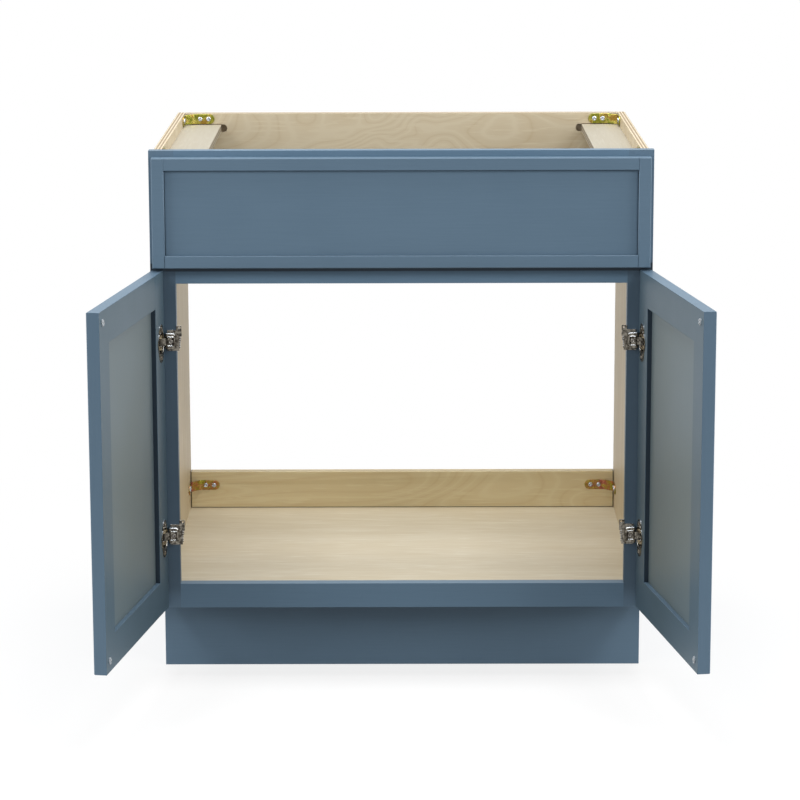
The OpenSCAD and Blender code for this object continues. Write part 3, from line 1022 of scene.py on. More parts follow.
@dataclass
class PaintedWork:
    """The painted boards: the face frame, the toe-kick board and the false drawer front."""

    slot: str = "painted_wood"
    frame_stiles: tuple[str, ...] = ("frame_stile_left", "frame_stile_right")
    frame_rails: tuple[str, ...] = ("frame_top_rail", "frame_mid_rail", "frame_bottom_rail")
    front_stiles: tuple[str, ...] = ("false_front_stile_left", "false_front_stile_right")
    front_rails: tuple[str, ...] = ("false_front_top_rail", "false_front_bottom_rail")
    front_panel: str = "false_front_panel"
    toe_board: str = "toe_kick_board"
    line: float = 0.0011
    skin: float = 0.001
    # Painted shade under the false front: how far its dark line and its softer shadow reach.
    gap_line: float = 0.0066
    gap_shade: float = 0.009
    overlap: float = 0.004
    toe_shade: float = 0.012
    # Painted light: the rails' paint is lighter and bluer than the stiles', standing in for the light that
    # the floor throws up onto them.
    rail_colours: tuple[Rgb, ...] = tints((97, 123, 144), (102, 128, 149), (92, 118, 139))

    def build(self) -> None:
        """Makes each board with its grain along its length."""
        under = self._under_front()
        upright = PaintFinish("paint_upright", Axis.Z, boxes=under + self._beside_doors()).material()
        # The rails take the lighter, bluer paint: painted light from the floor.
        lit_rail_paint = dict(zip(("colour", "light", "dark"), self.rail_colours))
        crosswise = PaintFinish("paint_crosswise", Axis.X, boxes=under, **lit_rail_paint).material()
        border = PaintFinish("paint_front_border", Axis.X).material()
        for stiles, rails, paints in (
            (self.frame_stiles, self.frame_rails, (upright, crosswise)),
            (self.front_stiles, self.front_rails, (border, border)),
        ):
            for node in stiles:
                EasedBoard(node, self.slot, glued_to=rails).make(paints[0])
            for node in rails:
                EasedBoard(node, self.slot, glued_to=stiles).make(paints[1])
        toe = PaintFinish("paint_toe_board", Axis.X, boxes=self._under_floor()).material()
        EasedBoard(self.toe_board, self.slot).make(toe)
        panel = PaintFinish("paint_front_panel", Axis.X, boxes=self._panel_lines()).material()
        EasedBoard(self.front_panel, self.slot).make(panel)

    def _under_front(self) -> tuple[Box, ...]:
        """The painted shade on the face frame right under the false front: a dark line where the front
        overhangs, and a softer shadow below it.

        Returns:
            The shaded boxes.
        """
        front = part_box("frame_mid_rail")[0].y
        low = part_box(self.front_rails[1])[0].z
        high = (FAR, front + self.skin, low + self.overlap)
        return (
            Box((-FAR, front - self.skin, low - self.gap_line), high, strength=0.85, soft=0.0016),
            Box((-FAR, front - self.skin, low - self.gap_shade), high, strength=0.3, soft=0.012),
        )

    def _beside_doors(self) -> tuple[Box, ...]:
        """The soft shade on each stile where a door turns beside it.

        Returns:
            The shaded boxes.
        """
        low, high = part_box(self.frame_rails[2])[1].z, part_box(self.frame_rails[1])[0].z
        front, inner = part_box(self.frame_rails[1])[0].y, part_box(self.frame_rails[1])[1].x
        near, far = front - self.skin, front + self.skin
        return tuple(
            Box((start, near, low), (end, far, high), strength=0.36, soft=0.03)
            for start, end in ((-FAR, -inner), (inner, FAR))
        )

    def _under_floor(self) -> tuple[Box, ...]:
        """The soft shade on the toe-kick board's upper part, under the bottom rail."""
        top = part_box(self.toe_board)[1].z
        return (Box(low=(-FAR, -FAR, top - self.toe_shade), strength=0.3, soft=0.045),)

    def _panel_lines(self) -> tuple[Box, ...]:
        """The thin shadow that the panel shows along its left, right and upper edges.

        Returns:
            The shaded boxes.
        """
        low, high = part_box(self.front_panel)
        return (
            Box(high=(low.x + self.line, FAR, FAR)),
            Box(low=(high.x - self.line, -FAR, -FAR)),
            Box(low=(-FAR, -FAR, high.z - self.line)),
        )


@dataclass
class BirchCase:
    """The clear-coated plywood boards of the case."""

    panel_plies: int = 5
    board_plies: int = 5
    thick_plies: int = 7
    ease: float = 0.00025
    line: float = 0.0011
    groove_run: float = 0.02
    groove_more: float = 0.002
    skin: float = 0.001
    face: float = 0.0006

    def _finish(
        self, node: str, grain: Axis, thickness: Axis, plies: int, seed: float, **more: object
    ) -> BirchFinish:
        """The finish of one board, with its plies between the node's own faces.

        Args:
            node: The node.
            grain: Direction of the face grain.
            thickness: Direction through the board.
            plies: Number of plies.
            seed: Moves the figure, so that no two boards match.
            more: Other fields of the finish.

        Returns:
            The finish.
        """
        low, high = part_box(node)
        faces = (low[thickness.value], high[thickness.value])
        return BirchFinish("birch_" + node, grain, thickness, *faces, plies, seed=seed, **more)

    def build(self) -> None:
        """Makes each board."""
        boards = [
            ("bottom_panel", Axis.X, Axis.Z, self.panel_plies, 3.1, "birch_plywood", self._bottom()),
            ("rear_bottom_rail", Axis.X, Axis.Y, self.thick_plies, 5.7, "birch_board", self._rear_rail()),
            ("rear_top_stretcher", Axis.X, Axis.Y, self.thick_plies, 8.3, "birch_board", self._stretcher()),
            ("side_board_left", Axis.Y, Axis.Z, self.board_plies, 1.9, "birch_board", self._side_board()),
            ("side_board_right", Axis.Y, Axis.Z, self.board_plies, 2.6, "birch_board", self._side_board()),
        ]
        for node, grain, thickness, plies, seed, slot, more in boards:
            finish = self._finish(node, grain, thickness, plies, seed, **more)
            EasedBoard(node, slot, self.ease).make(finish.material())
        for side in Side:
            node = "side_panel_" + side.word
            outer = max(abs(corner.x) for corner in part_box(node))
            seed = 4.0 + side.value
            finish = self._finish(node, Axis.Z, Axis.X, self.panel_plies, seed, painted_from=outer)
            EasedBoard(node, "birch_plywood", self.ease).make(finish.material())

    def _bottom(self) -> dict[str, object]:
        """The fields of the bottom panel, whose veneer has short soft streaks and no bold figure."""
        pale, tan = tints((211, 203, 183), (184, 167, 133))
        return {"pale": pale, "tan": tan, "figure": 0.08, "length": 0.1, "streak_length": 0.13, "curl": 0.9}

    def _rear_rail(self) -> dict[str, object]:
        """The fields of the lower rear rail, which looks the darkest. Its tints are lighter than the other
        boards', painted light that makes up for the light it lacks, and painted shade lines the gaps at its
        ends and underneath.

        Returns:
            The fields by name.
        """
        low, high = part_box("rear_bottom_rail")
        # Painted shade along the gaps at the rail's bottom and ends.
        lines = (
            Box(high=(FAR, FAR, low.z + self.line)),
            Box(high=(low.x + self.line, FAR, FAR)),
            Box(low=(high.x - self.line, -FAR, -FAR)),
        )
        # Painted light: tints lighter than the other boards'.
        pale, tan = tints((236, 222, 183), (214, 189, 140))
        figure = {"figure": 0.26, "rings": 24.0, "ring_power": 7.0, "length": 0.3, "streaks": 0.2}
        return {"pale": pale, "tan": tan, "boxes": lines, **figure}

    def _stretcher(self) -> dict[str, object]:
        """The fields of the rear stretcher: a bold figure, painted shade inside the grooves for the side
        boards, and a painted shadow line above each board.

        Returns:
            The fields by name.
        """
        front, back = (corner.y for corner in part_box("rear_top_stretcher"))
        deep, more = back - self.skin, self.groove_more
        boxes = []
        for side in Side:
            low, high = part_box("side_board_" + side.word)
            inner = high.x if side is Side.LEFT else low.x
            start, end = sorted((inner, inner - side.value * self.groove_run))
            # Painted shade inside the groove, past the board's end.
            groove = (start, front + self.face, low.z - more), (end, deep, high.z + more)
            boxes.append(Box(*groove, strength=0.5))
            start, end = sorted((inner, inner + side.value * FAR))
            # Painted shadow along the gap above the board.
            gap = (start, -FAR, high.z), (end, deep, high.z + self.line)
            boxes.append(Box(*gap, strength=0.85))
        figure = {"figure": 0.27, "rings": 24.0, "ring_power": 7.0, "length": 0.6, "streaks": 0.15}
        pale, tan, box_tone = tints((208, 196, 170), (183, 161, 125), (84, 52, 24))
        return {"pale": pale, "tan": tan, "box_tone": box_tone, "boxes": tuple(boxes), **figure}

    def _side_board(self) -> dict[str, object]:
        """The fields of the side boards, with greyer, darker tints than the other boards': painted shade."""
        # Painted shade: darker tints in place of less light on these boards.
        pale, tan = tints((176, 170, 154), (160, 150, 128))
        return {"pale": pale, "tan": tan, "figure": 0.04}


@dataclass
class CornerBracket:
    """A bent strap that cuts off a corner, with two screws in each leg, in millimetres.

    Its own frame has the corner at the origin and the walls along +X and +Y.
    """

    height: float = 16.5
    thickness: float = 2.0
    leg: float = 34.0
    cut: float = 16.0
    bend_r: float = 3.0
    screw_inset: float = 10.0
    crown: float = 0.32
    edge: float = 0.16
    screw: CrossScrew = CrossScrew(3.7, 1.6, 1.9, 11.0)
    slot: str = "zinc_bracket"

    def corner_place(self, node: str) -> Place:
        """Where a bracket goes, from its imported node.

        Args:
            node: The bracket's node.

        Returns:
            The place, mirrored for the right side and for the rear.
        """
        low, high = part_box(node)
        left, rear = node.endswith("left"), "rear" in node
        origin = np.array([low.x if left else high.x, high.y if rear else low.y, (low.z + high.z) / 2])
        return Place(origin, np.diag([1.0 if left else -1.0, -1.0 if rear else 1.0, 1.0]))

    def centre_line(self) -> Array:
        """The strap's middle line, with its two bends rounded.

        Each corner of the line is replaced by the curve (1-t)^2 p + 2t(1-t) q + t^2 r, where q is the
        corner and p and r lie a set distance before and after it.

        Returns:
            Points (n, 2).
        """
        middle = self.thickness / 2
        knee = self.cut + middle * (math.sqrt(2) - 1)
        end = self.cut + self.leg
        corners = np.array([[end, middle], [knee, middle], [middle, knee], [middle, end]])
        line = [corners[:1]]
        t = np.linspace(0, 1, 9)[:, None]
        for before, corner, after in zip(corners, corners[1:], corners[2:]):
            p = corner + (before - corner) / np.linalg.norm(before - corner) * self.bend_r
            r = corner + (after - corner) / np.linalg.norm(after - corner) * self.bend_r
            line.append((1 - t) ** 2 * p + 2 * t * (1 - t) * corner + t**2 * r)
        line.append(corners[3:])
        return np.concatenate(line)

    def add_strap(self, shell: Shell, place: Place) -> None:
        """Adds the strap.

        Its section, a rounded oblong, is carried along the middle line: |cos a|^edge across and
        |sin a|^crown deep, with their signs. Its half width is that of a half circle at each end:
        sqrt(R^2 - (R - d)^2) at a distance d from the end.

        Args:
            shell: The shell that takes it.
            place: Where the corner is.
        """
        line = self.centre_line()
        steps = np.linalg.norm(np.diff(line, axis=0), axis=1)
        along = np.concatenate([[0.0], np.cumsum(steps)])
        radius = self.height / 2
        ends = radius * (1 - np.cos(np.linspace(0, np.pi / 2, 12)))
        middle = np.linspace(radius, along[-1] - radius, 60)[1:-1]
        s = np.concatenate([ends, middle, along[-1] - ends[::-1]])
        points = np.stack([np.interp(s, along, line[:, k]) for k in (0, 1)], axis=1)
        ahead = np.gradient(points, axis=0)
        ahead /= np.linalg.norm(ahead, axis=1, keepdims=True)
        normal = np.stack([ahead[:, 1], -ahead[:, 0]], axis=1)
        from_end = np.minimum(s, along[-1] - s)
        half = np.sqrt(np.clip(radius**2 - np.clip(radius - from_end, 0, None) ** 2, 0, None))
        cos, sin = circle(32).T
        wide = np.sign(cos) * np.abs(cos) ** self.edge
        deep = np.sign(sin) * np.abs(sin) ** self.crown * self.thickness / 2
        flat = points[:, None, :] + normal[:, None, :] * deep[None, :, None]
        height = half[:, None] * wide[None, :]
        shell.sheet(place(np.concatenate([flat, height[..., None]], axis=-1)), close_columns=True)

    def screw_places(self, place: Place) -> list[Place]:
        """The seats of the bracket's four screws.

        Args:
            place: Where the corner is.

        Returns:
            Their places, each with the third axis out of its wall.
        """
        along = (self.cut + self.screw_inset, self.cut + self.leg - self.screw_inset)
        first = [place.on([x, self.thickness, 0], turned_axes([0, 1, 0])) for x in along]
        second = [place.on([self.thickness, y, 0], turned_axes([1, 0, 0])) for y in along]
        return first + second


@dataclass
class Brackets:
    """The eight corner brackets and their screws."""

    bracket: CornerBracket = field(default_factory=CornerBracket)
    body: str = "cabinet"
    cross_step: float = 0.7

    def build(self) -> None:
        """Makes a piece for each bracket and one for all the screws."""
        high_zinc, low_zinc = YELLOW_ZINC.material(), RED_ZINC.material()
        screws = Shell()
        for where in ("rear_top", "rear_low", "front_top", "front_low"):
            zinc = high_zinc if where.endswith("top") else low_zinc
            for side in Side:
                node = f"bracket_{where}_{side.word}"
                place = self.bracket.corner_place(node)
                strap = Shell()
                self.bracket.add_strap(strap, place)
                strap.dressed(node + "_dressed", zinc, self.body, self.bracket.slot, node)
                for index, seat in enumerate(self.bracket.screw_places(place)):
                    spun = seat.on([0, 0, 0], spin(index * self.cross_step + side.value))
                    self.bracket.screw.add_to(screws, spun)
        zinc = BRIGHT_ZINC.material()
        screws.dressed("bracket_screws_dressed", zinc, self.body, "zinc_screw", "bracket_screws")


@dataclass
class FalseFrontScrews:
    """The four screws that hold the false front from behind, in millimetres."""

    screw: CrossScrew = CrossScrew(3.7, 1.6, 1.9, 29.0)
    cross_turn: float = 0.5

    def build(self) -> None:
        """Puts a screw a third of the front's width either side, behind its upper and lower overlap."""
        front_low, front_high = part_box("false_front_stile_left")
        mid_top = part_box("frame_mid_rail")[1].z
        top_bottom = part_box("frame_top_rail")[0].z
        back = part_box("frame_mid_rail")[1].y
        third = -2 * front_low.x / 3
        shell = Shell()
        for index, x in enumerate((-third, third)):
            for z in ((mid_top + front_low.z) / 2, (top_bottom + front_high.z) / 2):
                turn = turned_axes([0, 1, 0]) @ spin(self.cross_turn + index)
                self.screw.add_to(shell, Place(np.array([x, back, z]), turn))
        node = "false_front_screws"
        shell.dressed(node + "_dressed", NICKEL.material(), "cabinet", "nickel_steel", node)


@dataclass
class Door:
    """A door with its bumpers and the hinge parts that move with it.

    Its hardware is in millimetres, in the pivot's frame, and the shade drawn on its paint in metres.
    The bumpers' powers are those of their profile's width and height, and their dish is given as
    shares of their radius and height.
    """

    side: Side
    bumper_r: float = 5.5
    bumper_h: float = 2.7
    bumper_powers: tuple[float, float] = (0.55, 0.7)
    bumper_dish: tuple[float, float] = (0.55, 0.28)
    cup_screw: CrossScrew = CrossScrew(3.15, 1.1, 1.52, 5.5)
    cup_x: float = 14.5
    cup_screw_y: float = 9.0
    cup_screw_z: float = 22.5
    cup_ease: float = 0.00018
    cross_turn: float = 0.4
    # A painted reflection: the greyer tint of the door frame's faces that look into the cabinet.
    frame_thin: Rgb = paint_value(72, 89, 97)
    shade_on_panel: float = 0.0016
    shade_on_stile: float = 0.0006
    shade_below: float = 0.0004
    shade_short: float = 0.0008

    @property
    def body(self) -> str:
        """The body's name."""
        return "door_" + self.side.word

    @property
    def joint(self) -> dict:
        """The door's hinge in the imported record."""
        return next(joint for joint in frame["joints"] if joint["child"] == self.body)

    @property
    def opened(self) -> float:
        """The angle, in radians, by which the door stands open at rest."""
        return math.radians(max(abs(limit) for limit in self.joint["range_deg"]))

    def place(self, height: float, closed: bool = False) -> Place:
        """The pivot's frame, with +X to the cabinet's middle and +Y to the back on a closed door.

        Args:
            height: Its height, in metres.
            closed: True for the frame of the parts that stay on the cabinet.

        Returns:
            The place, turned with the open door unless closed.
        """
        x, y, _ = self.joint["pos_m"]
        mirrored = np.diag([-float(self.side.value), 1.0, 1.0])
        turn = np.eye(3) if closed else spin(-self.opened)
        return Place(np.array([x, y, height]), mirrored @ turn)

    def hinge_heights(self) -> dict[Level, float]:
        """The height of each hinge's middle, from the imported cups.

        Returns:
            The heights, in metres.
        """
        return {
            level: sum(corner.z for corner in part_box(f"hinge_cup_{level.value}_{self.side.word}")) / 2
            for level in Level
        }

    def build(self) -> None:
        """Makes the painted members, the bumpers, and the hinge parts on the door."""
        pattern_turn = float(self.side.value) * self.opened
        # The painted reflection goes on the faces that look along the door's inner side.
        inner = tuple(float(part) for part in self.place(0.0).turn @ np.array([0.0, 1.0, 0.0]))
        common = {"turn": pattern_turn, "thin_side": inner}
        framed = {**common, "thin": self.frame_thin}
        shadow = self._recess_shadow()
        upright = PaintFinish(f"paint_{self.body}_upright", Axis.Z, **framed).material()
        crosswise = PaintFinish(f"paint_{self.body}_crosswise", Axis.X, **framed).material()
        lined = PaintFinish(f"paint_{self.body}_recess", Axis.Z, boxes=shadow, **framed).material()
        panel = PaintFinish(f"paint_{self.body}_panel", Axis.Z, boxes=shadow, **common).material()
        stiles = tuple(f"{self.body}_{member}" for member in ("hinge_stile", "free_stile"))
        rails = tuple(f"{self.body}_{member}" for member in ("top_rail", "bottom_rail"))
        for node, paint in zip(stiles, (lined, upright)):
            EasedBoard(node, "painted_wood", glued_to=rails).make(paint)
        for node in rails:
            EasedBoard(node, "painted_wood", glued_to=stiles).make(crosswise)
        EasedBoard(self.body + "_panel", "painted_wood", ease=0.0).make(panel)
        self._bumpers()
        self._hinge_parts()

    def _recess_shadow(self) -> tuple[Box, ...]:
        """The shadow in the recess along the hinge stile, in the space of the door's pattern.

        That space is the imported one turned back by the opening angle, where the stile's box is square.
        The recess lies between the rails, and its wall is the stile's edge towards the panel.

        Returns:
            The shaded box.
        """
        turn_back = spin(-float(self.side.value) * self.opened)
        body = self.body
        members = ("hinge_stile", "panel", "bottom_rail", "top_rail")
        boxes = [self._square_box(f"{body}_{member}", turn_back) for member in members]
        stile, panel, rail_low, rail_high = boxes
        wall, sign = (stile[1][0], -1.0) if self.side is Side.LEFT else (stile[0][0], 1.0)
        start, end = sorted((wall - sign * self.shade_on_panel, wall + sign * self.shade_on_stile))
        low = (start, panel[1][1] - self.shade_below, rail_low[1][2])
        high = (end, stile[1][1] - self.shade_short, rail_high[0][2])
        return (Box(low, high, strength=0.85),)

    def _square_box(self, node: str, turn_back: Array) -> Array:
        """The box of a node after a turn.

        Args:
            node: The node.
            turn_back: The turn, as a matrix.

        Returns:
            Its low and high corners, array (2, 3).
        """
        mesh = frame["nodes"][node].data
        points = np.empty(len(mesh.vertices) * 3)
        mesh.vertices.foreach_get("co", points)
        turned = points.reshape(-1, 3) @ turn_back.T
        return np.stack([turned.min(axis=0), turned.max(axis=0)])

    def _bumpers(self) -> None:
        """Makes the two bumpers: a profile turned about its axis.

        The profile is a quarter of a rounded oblong, r = R cos(a)^p and h = H sin(a)^q, with a shallow
        dish in its middle that is a parabola.
        """
        node = self.body + "_bumpers"
        low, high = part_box(node)
        radius, rise = self.bumper_r, self.bumper_h
        angle = np.linspace(0, np.pi / 2, 14)
        r = radius * np.cos(angle) ** self.bumper_powers[0]
        h = rise * np.sin(angle) ** self.bumper_powers[1]
        dish_r, dish_h = radius * self.bumper_dish[0], rise * self.bumper_dish[1]
        h = h - dish_h * np.clip(1 - (r / dish_r) ** 2, 0, 1)
        profile = np.concatenate([[[0.0, 0.0]], np.stack([r, h], axis=1)])
        flat = profile[:, None, :1] * circle(40)[None]
        points = np.concatenate([flat, np.broadcast_to(profile[:, None, 1:], (*flat.shape[:2], 1))], axis=-1)
        door = self.place(0.0)
        out = door.turn @ np.array([0.0, 1.0, 0.0])
        shell = Shell()
        for z in (low.z + radius * MM, high.z - radius * MM):
            middle = np.array([(low.x + high.x) / 2, (low.y + high.y) / 2, z])
            seat = Place(middle - out * rise / 2 * MM, turned_axes(out))
            shell.sheet(seat(points), close_columns=True)
        shell.dressed(node + "_dressed", CLEAR.material(), self.body, "clear_bumper", node)

    def _hinge_parts(self) -> None:
        """Makes the cups with eased edges and their screws, and plates the pins and springs."""
        nickel, cup_nickel = NICKEL.material(), CUP_NICKEL.material()
        word = self.side.word
        shell = Shell()
        for level, height in self.hinge_heights().items():
            cup = EasedBoard(f"hinge_cup_{level.value}_{word}", "nickel_steel", self.cup_ease, CRISP_ANGLE)
            cup.make(cup_nickel)
            door = self.place(height)
            for index, z in enumerate((-self.cup_screw_z, self.cup_screw_z)):
                turn = turned_axes([0, 1, 0]) @ spin(self.cross_turn + index)
                self.cup_screw.add_to(shell, door.on([self.cup_x, self.cup_screw_y, z], turn))
        node = "hinge_cup_screws_" + word
        shell.dressed(node + "_dressed", nickel, self.body, "nickel_steel", node)
        for node in (f"hinge_pins_{word}", f"hinge_springs_{word}"):
            wear_finish(node, nickel)


@dataclass(frozen=True)
class PressedArm:
    """The arm of a hinge, pressed from sheet, in millimetres in the pivot's frame.

    It is a knuckle round the pin, a strip, and a box with a rounded rim and a raised border.
    """

    near_x: float = 10.5
    far_x: float = 26.8
    half_high: float = 13.0
    round_x: float = 14.5
    round_r: float = 15.8
    front: float = -0.5
    back: float = 9.5
    wall: float = 1.3
    rim_r: float = 2.4
    border_in_x: float = 3.4
    border_in_z: float = 6.2
    border_wide: float = 0.95
    border_lift: float = 0.9
    dish: float = 0.5
    middle_gap: float = 0.02
    past_border: float = 1.0
    corner_power: float = 14.0
    knuckle_r: float = 2.0
    pin_hole_r: float = 1.3
    knuckle_half: float = 5.5
    strip_from: float = 0.8
    strip_low: float = -2.0
    strip_high: float = -0.4

    def _outline(self, inset: Array, more_z: Array) -> Array:
        """The box's outline, drawn in by each inset.

        From the box's middle, the reach at an angle is the soft minimum, (sum of r^-p)^(-1/p), of the
        ways to its near side, its far side, its top or bottom and the circle that suits the cup.

        Args:
            inset: Insets, array (n,).
            more_z: How much more each is drawn in at the top and the bottom, array (n,).

        Returns:
            Points (n, angles, 2) as x and z.
        """
        cos, sin = circle(96).T[:, None]
        middle = (self.near_x + self.far_x) / 2
        inset = inset[:, None]
        tiny = 1e-9
        sideways = ((self.far_x - self.near_x) / 2 - inset) / np.maximum(np.abs(cos), tiny)
        upward = (self.half_high - inset - more_z[:, None]) / np.maximum(np.abs(sin), tiny)
        offset = middle - self.round_x
        ahead = -offset * cos + np.sqrt((self.round_r - inset) ** 2 - (offset * sin) ** 2)
        ways = np.stack([sideways, upward, ahead])
        reach = np.sum(ways**-self.corner_power, axis=0) ** (-1 / self.corner_power)
        return np.stack([middle + reach * cos, reach * sin], axis=-1)

    def _section(self) -> tuple[Array, Array, Array]:
        """The box's section from its inner floor round the open rim to the middle of its front.

        The front's rim is a quarter round, x = r(1 - cos a) and y = r(1 - sin a). Its raised border is
        a smooth hump, and the plate inside the border lies a little lower.

        Returns:
            The insets, how much more they are at the top and the bottom, and the depths, arrays (n,).
        """
        most = (self.far_x - self.near_x) / 2 - self.middle_gap
        corner = np.linspace(0, np.pi / 2, 9)
        wall, rim, deep = self.wall, self.rim_r, self.back - self.front
        inset = [np.array([most, wall + rim, wall, wall, 0.0]), rim * (1 - np.cos(corner))]
        depth = [np.array([wall, wall, wall + rim / 2, deep, deep]), rim * (1 - np.sin(corner))]
        across = np.linspace(-1, 1, 11)
        hump = self.border_lift * np.cos(across * np.pi / 2) ** 2
        floor = self.dish * (across + 1) / 2
        inset.append(self.border_in_x + across * self.border_wide)
        depth.append(floor - hump)
        inset.append(np.array([(most + self.border_in_x) / 2 + self.past_border, most]))
        depth.append(np.array([self.dish, self.dish]))
        outer = sum(len(part) for part in inset[:2])
        insets = np.concatenate(inset)
        more_z = np.where(np.arange(len(insets)) < outer, 0.0, self.border_in_z - self.border_in_x)
        return insets, more_z, self.front + np.concatenate(depth)

    def add_to(self, shell: Shell, place: Place) -> None:
        """Adds the arm.

        Args:
            shell: The shell that takes it.
            place: The pivot's frame.
        """
        inset, more_z, depth = self._section()
        outline = self._outline(inset, more_z)
        deep = np.broadcast_to(depth[:, None], outline.shape[:2])
        rings = np.stack([outline[..., 0], deep, outline[..., 1]], axis=-1)
        middle = np.array([(self.near_x + self.far_x) / 2, 0.0, 0.0])
        ends = [np.broadcast_to(middle + [0, depth[end], 0], (1, *rings.shape[1:])) for end in (0, -1)]
        shell.sheet(place(np.concatenate([ends[0], rings, ends[1]])), close_columns=True)
        ring = circle(32)
        half, outer, hole = self.knuckle_half, self.knuckle_r, self.pin_hole_r
        loop = [(outer, -half), (outer, half), (hole, half), (hole, -half)]
        tube = [np.column_stack([ring * radius, np.full(len(ring), z)]) for radius, z in loop]
        shell.sheet(place(np.stack(tube)), close_rows=True, close_columns=True)
        start, end = self.knuckle_r * self.strip_from, self.near_x + self.wall
        low, high = self.strip_low, self.strip_high
        strip = np.array([[start, low], [end, low], [end, high], [start, high]])
        shell.slab(strip, -half, half, place)


@dataclass
class CabinetHinges:
    """The arms, plates and screws of the hinges, which stay on the cabinet, in millimetres."""

    plate_screw: CrossScrew = CrossScrew(3.7, 2.0, 1.9, 20.0)
    cam_screw: CrossScrew = CrossScrew(3.3, 1.0, 1.8, 11.5)
    arm: PressedArm = PressedArm()
    stile_edge: float = 27.1
    fold: float = 4.5
    frame_face: float = 11.0
    frame_thick: float = 19.0
    arm_middle: float = 18.65
    cam_seat: float = 0.0
    tooth_pitch: float = 3.7
    tooth_h: float = 1.4
    tooth_power: float = 0.6
    teeth_reach: float = 13.0
    plate_ease: float = 0.0003
    teeth_sunk: float = 0.4
    teeth_ahead: float = 1.2
    teeth_t: float = 2.6
    cross_turns: tuple[float, float] = (0.3, 0.9)

    def build(self, doors: list[Door]) -> None:
        """Makes each hinge's plate with its teeth and its arm, then all the screws.

        Args:
            doors: The two doors, whose pivots carry the hinges.
        """
        nickel, arm_nickel = NICKEL.material(), ARM_NICKEL.material()
        plate_screws, cam_screws = Shell(), Shell()
        for door in doors:
            for level, height in door.hinge_heights().items():
                tail = f"{level.value}_{door.side.word}"
                place = door.place(height, closed=True)
                plate = EasedBoard("hinge_plate_" + tail, "nickel_steel", self.plate_ease, CRISP_ANGLE)
                plate.make(arm_nickel)
                arm = Shell()
                self.arm.add_to(arm, place)
                node = "hinge_arm_" + tail
                arm.dressed(node + "_dressed", arm_nickel, "cabinet", "nickel_steel", node)
                teeth = Shell()
                self._add_teeth(teeth, place)
                teeth.dressed("hinge_teeth_" + tail, arm_nickel, "cabinet", "nickel_steel")
                sideways = turned_axes([1, 0, 0]) @ spin(self.cross_turns[0])
                stile_middle = self.frame_face + self.frame_thick / 2
                side_seat = place.on([self.stile_edge + self.fold, stile_middle, 0], sideways)
                self.plate_screw.add_to(plate_screws, side_seat)
                forward = turned_axes([0, -1, 0]) @ spin(self.cross_turns[1])
                self.cam_screw.add_to(cam_screws, place.on([self.arm_middle, self.cam_seat, 0], forward))
        for shell, node in ((plate_screws, "hinge_plate_screws"), (cam_screws, "hinge_cam_screws")):
            shell.dressed(node + "_dressed", nickel, "cabinet", "nickel_steel", node)

    def _add_teeth(self, shell: Shell, place: Place) -> None:
        """Adds the strip of small teeth along the fold's inner edge, an outline of rounded peaks.

        The reach at a height z is the tooth height times (0.5 + 0.5 cos(2 pi z / pitch))^power.

        Args:
            shell: The shell that takes it.
            place: The pivot's frame.
        """
        z = np.linspace(-self.teeth_reach, self.teeth_reach, 97)
        base = self.stile_edge + self.fold
        wave = 0.5 + 0.5 * np.cos(2 * np.pi * z / self.tooth_pitch)
        reach = self.tooth_h * wave**self.tooth_power
        toothed = np.stack([base + reach, z], axis=1)
        sunk = base - self.teeth_sunk
        back = np.array([[sunk, self.teeth_reach], [sunk, -self.teeth_reach]])
        upright = np.array([[1.0, 0.0, 0.0], [0.0, 0.0, 1.0], [0.0, 1.0, 0.0]])
        front = self.frame_face - self.teeth_ahead
        shell.slab(np.concatenate([toothed, back]), front, front + self.teeth_t, place.on([0, 0, 0], upright))


# Studio


def stand(piece: bpy.types.Object, axes: Array, where: tuple[float, float, float]) -> None:
    """Stands a lamp or the camera in its place.

    Args:
        piece: The lamp or the camera.
        axes: Its three axes, as the columns of a matrix. It looks against the third.
        where: Its place.
    """
    matrix = np.eye(4)
    matrix[:3, :3] = axes
    matrix[:3, 3] = where
    piece.matrix_world = Matrix(matrix.tolist())


@dataclass(frozen=True)
class Lamp:
    """A square soft lamp that looks at the object's middle and isn't seen itself."""

    name: str
    where: tuple[float, float, float]
    size: float
    watts: float
    aim: tuple[float, float, float] = (0.0, 0.0, 0.4)

    def build(self) -> None:
        """Adds the lamp."""
        light = bpy.data.lights.new(self.name, "AREA")
        light.shape = "SQUARE"
        light.size = self.size
        light.energy = self.watts
        lamp = placed(self.name, light)
        lamp.visible_camera = False
        stand(lamp, turned_axes(np.array(self.where) - np.array(self.aim)), self.where)


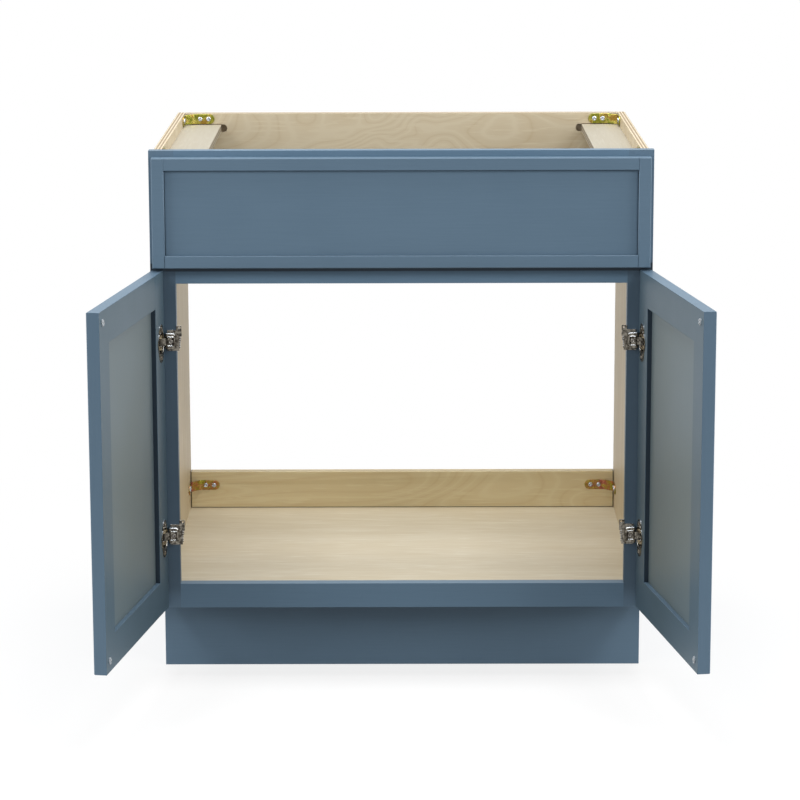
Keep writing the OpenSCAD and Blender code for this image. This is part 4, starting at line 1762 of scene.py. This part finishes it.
@dataclass
class Studio:
    """The floor, the light and the camera."""

    camera_at: tuple[float, float, float] = (0.00375, -4.65794, 1.37803)
    focal_px: float = 3053.73
    picture_px: float = 800.0
    sensor: float = 36.0
    sight: float = 100.0
    pitch: float = math.radians(11.56)
    yaw: float = math.radians(-0.08)
    roll: float = math.radians(-0.13)
    ambient: float = 0.1
    bounce: float = 0.5
    floor_glow: float = 0.75
    floor_half: float = 6.0
    floor_drop: float = 0.0005
    floor_tone: float = 0.96
    fade: tuple[float, float] = (0.75, 1.5)
    lamps: tuple[Lamp, ...] = (
        Lamp("top_lamp", (0.0, 0.2, 3.4), 2.2, 98.0),
        Lamp("key_lamp_left", (-2.5, -3.0, 3.2), 1.2, 30.0),
        Lamp("key_lamp_right", (2.5, -3.0, 3.2), 1.2, 36.0),
        Lamp("front_lamp_left", (-2.15, -3.3, 2.2), 1.0, 14.0),
        Lamp("front_lamp_right", (2.15, -3.3, 2.2), 1.0, 17.0),
        Lamp("side_lamp_left", (-3.2, -0.9, 1.0), 1.6, 62.0),
        Lamp("side_lamp_right", (3.2, -0.9, 1.0), 1.6, 68.0),
    )

    def build(self) -> None:
        """Makes the floor, the world, the lamps and the camera."""
        self._floor()
        self._world()
        for lamp in self.lamps:
            lamp.build()
        self._camera()
        bpy.context.scene.view_settings.view_transform = "Standard"

    def _floor(self) -> None:
        """Makes the pale floor, which fades into the white of the background away from the object."""
        half = self.floor_half
        mesh = bpy.data.meshes.new("floor")
        corners = [(-half, -half, 0), (half, -half, 0), (half, half, 0), (-half, half, 0)]
        mesh.from_pydata(corners, [], [(0, 1, 2, 3)])
        floor = placed("floor", mesh)
        floor.location.z = -self.floor_drop
        shader = Shader("floor_white")
        length = shader.node("ShaderNodeVectorMath", {"operation": "LENGTH"}, {0: shader.place()})
        away = Value(shader, length.outputs["Value"]).rise(*self.fade)
        seen = self._seen(shader)
        tone = shader.blend(seen, (self.bounce,) * 3, (self.floor_tone,) * 3)
        matt = shader.node("ShaderNodeBsdfDiffuse", None, {"Color": tone})
        glow = shader.node("ShaderNodeEmission", None, {"Strength": seen * (1 - self.ambient) + self.ambient})
        share = away + (1 - away) * seen * self.floor_glow
        mixed = shader.node("ShaderNodeMixShader", None, {0: share, 1: matt.outputs[0], 2: glow.outputs[0]})
        shader.tree.links.new(mixed.outputs[0], shader.output.inputs["Surface"])
        mesh.materials.append(shader.material)

    def _seen(self, shader: Shader) -> Value:
        """1 for what the camera sees directly, in a reflection or through glass, and otherwise 0.

        Args:
            shader: The node tree that it is for.

        Returns:
            The value.
        """
        rays = shader.node("ShaderNodeLightPath")
        kinds = ("Camera", "Glossy", "Transmission")
        values = [Value(shader, rays.outputs[f"Is {kind} Ray"]) for kind in kinds]
        return (values[0] + values[1] + values[2]).kept_in(0.0, 1.0)

    def _world(self) -> None:
        """Sets a white background that lights the object less than it shows."""
        world = bpy.data.worlds.new("studio_world")
        bpy.context.scene.world = world
        shader = Shader(world.name, world)
        strength = self._seen(shader) * (1 - self.ambient) + self.ambient
        back = shader.node("ShaderNodeBackground", None, {"Color": (1, 1, 1, 1), "Strength": strength})
        shader.tree.links.new(back.outputs[0], shader.output.inputs["Surface"])

    def _camera(self) -> None:
        """Sets the camera that the picture was taken with: its place, its three angles and its lens."""
        sin_pitch, cos_pitch = math.sin(self.pitch), math.cos(self.pitch)
        forward = np.array([math.sin(self.yaw) * cos_pitch, math.cos(self.yaw) * cos_pitch, -sin_pitch])
        level = np.array([math.cos(self.yaw), -math.sin(self.yaw), 0.0])
        upward = np.cross(level, forward)
        right = math.cos(self.roll) * level + math.sin(self.roll) * upward
        up = -math.sin(self.roll) * level + math.cos(self.roll) * upward
        data = bpy.data.cameras.new("camera")
        data.sensor_width = self.sensor
        data.lens = self.sensor * self.focal_px / self.picture_px
        data.clip_end = self.sight
        camera = placed("camera", data)
        stand(camera, np.stack([right, up, -forward], axis=1), self.camera_at)
        bpy.context.scene.camera = camera


def main() -> None:
    """Builds the object and the studio."""
    logging.basicConfig(level=logging.INFO, format="%(name)s: %(message)s")
    Studio().build()
    PaintedWork().build()
    BirchCase().build()
    Brackets().build()
    FalseFrontScrews().build()
    doors = [Door(side) for side in Side]
    for door in doors:
        door.build()
    CabinetHinges().build(doors)


if __name__ == "__main__":
    main()
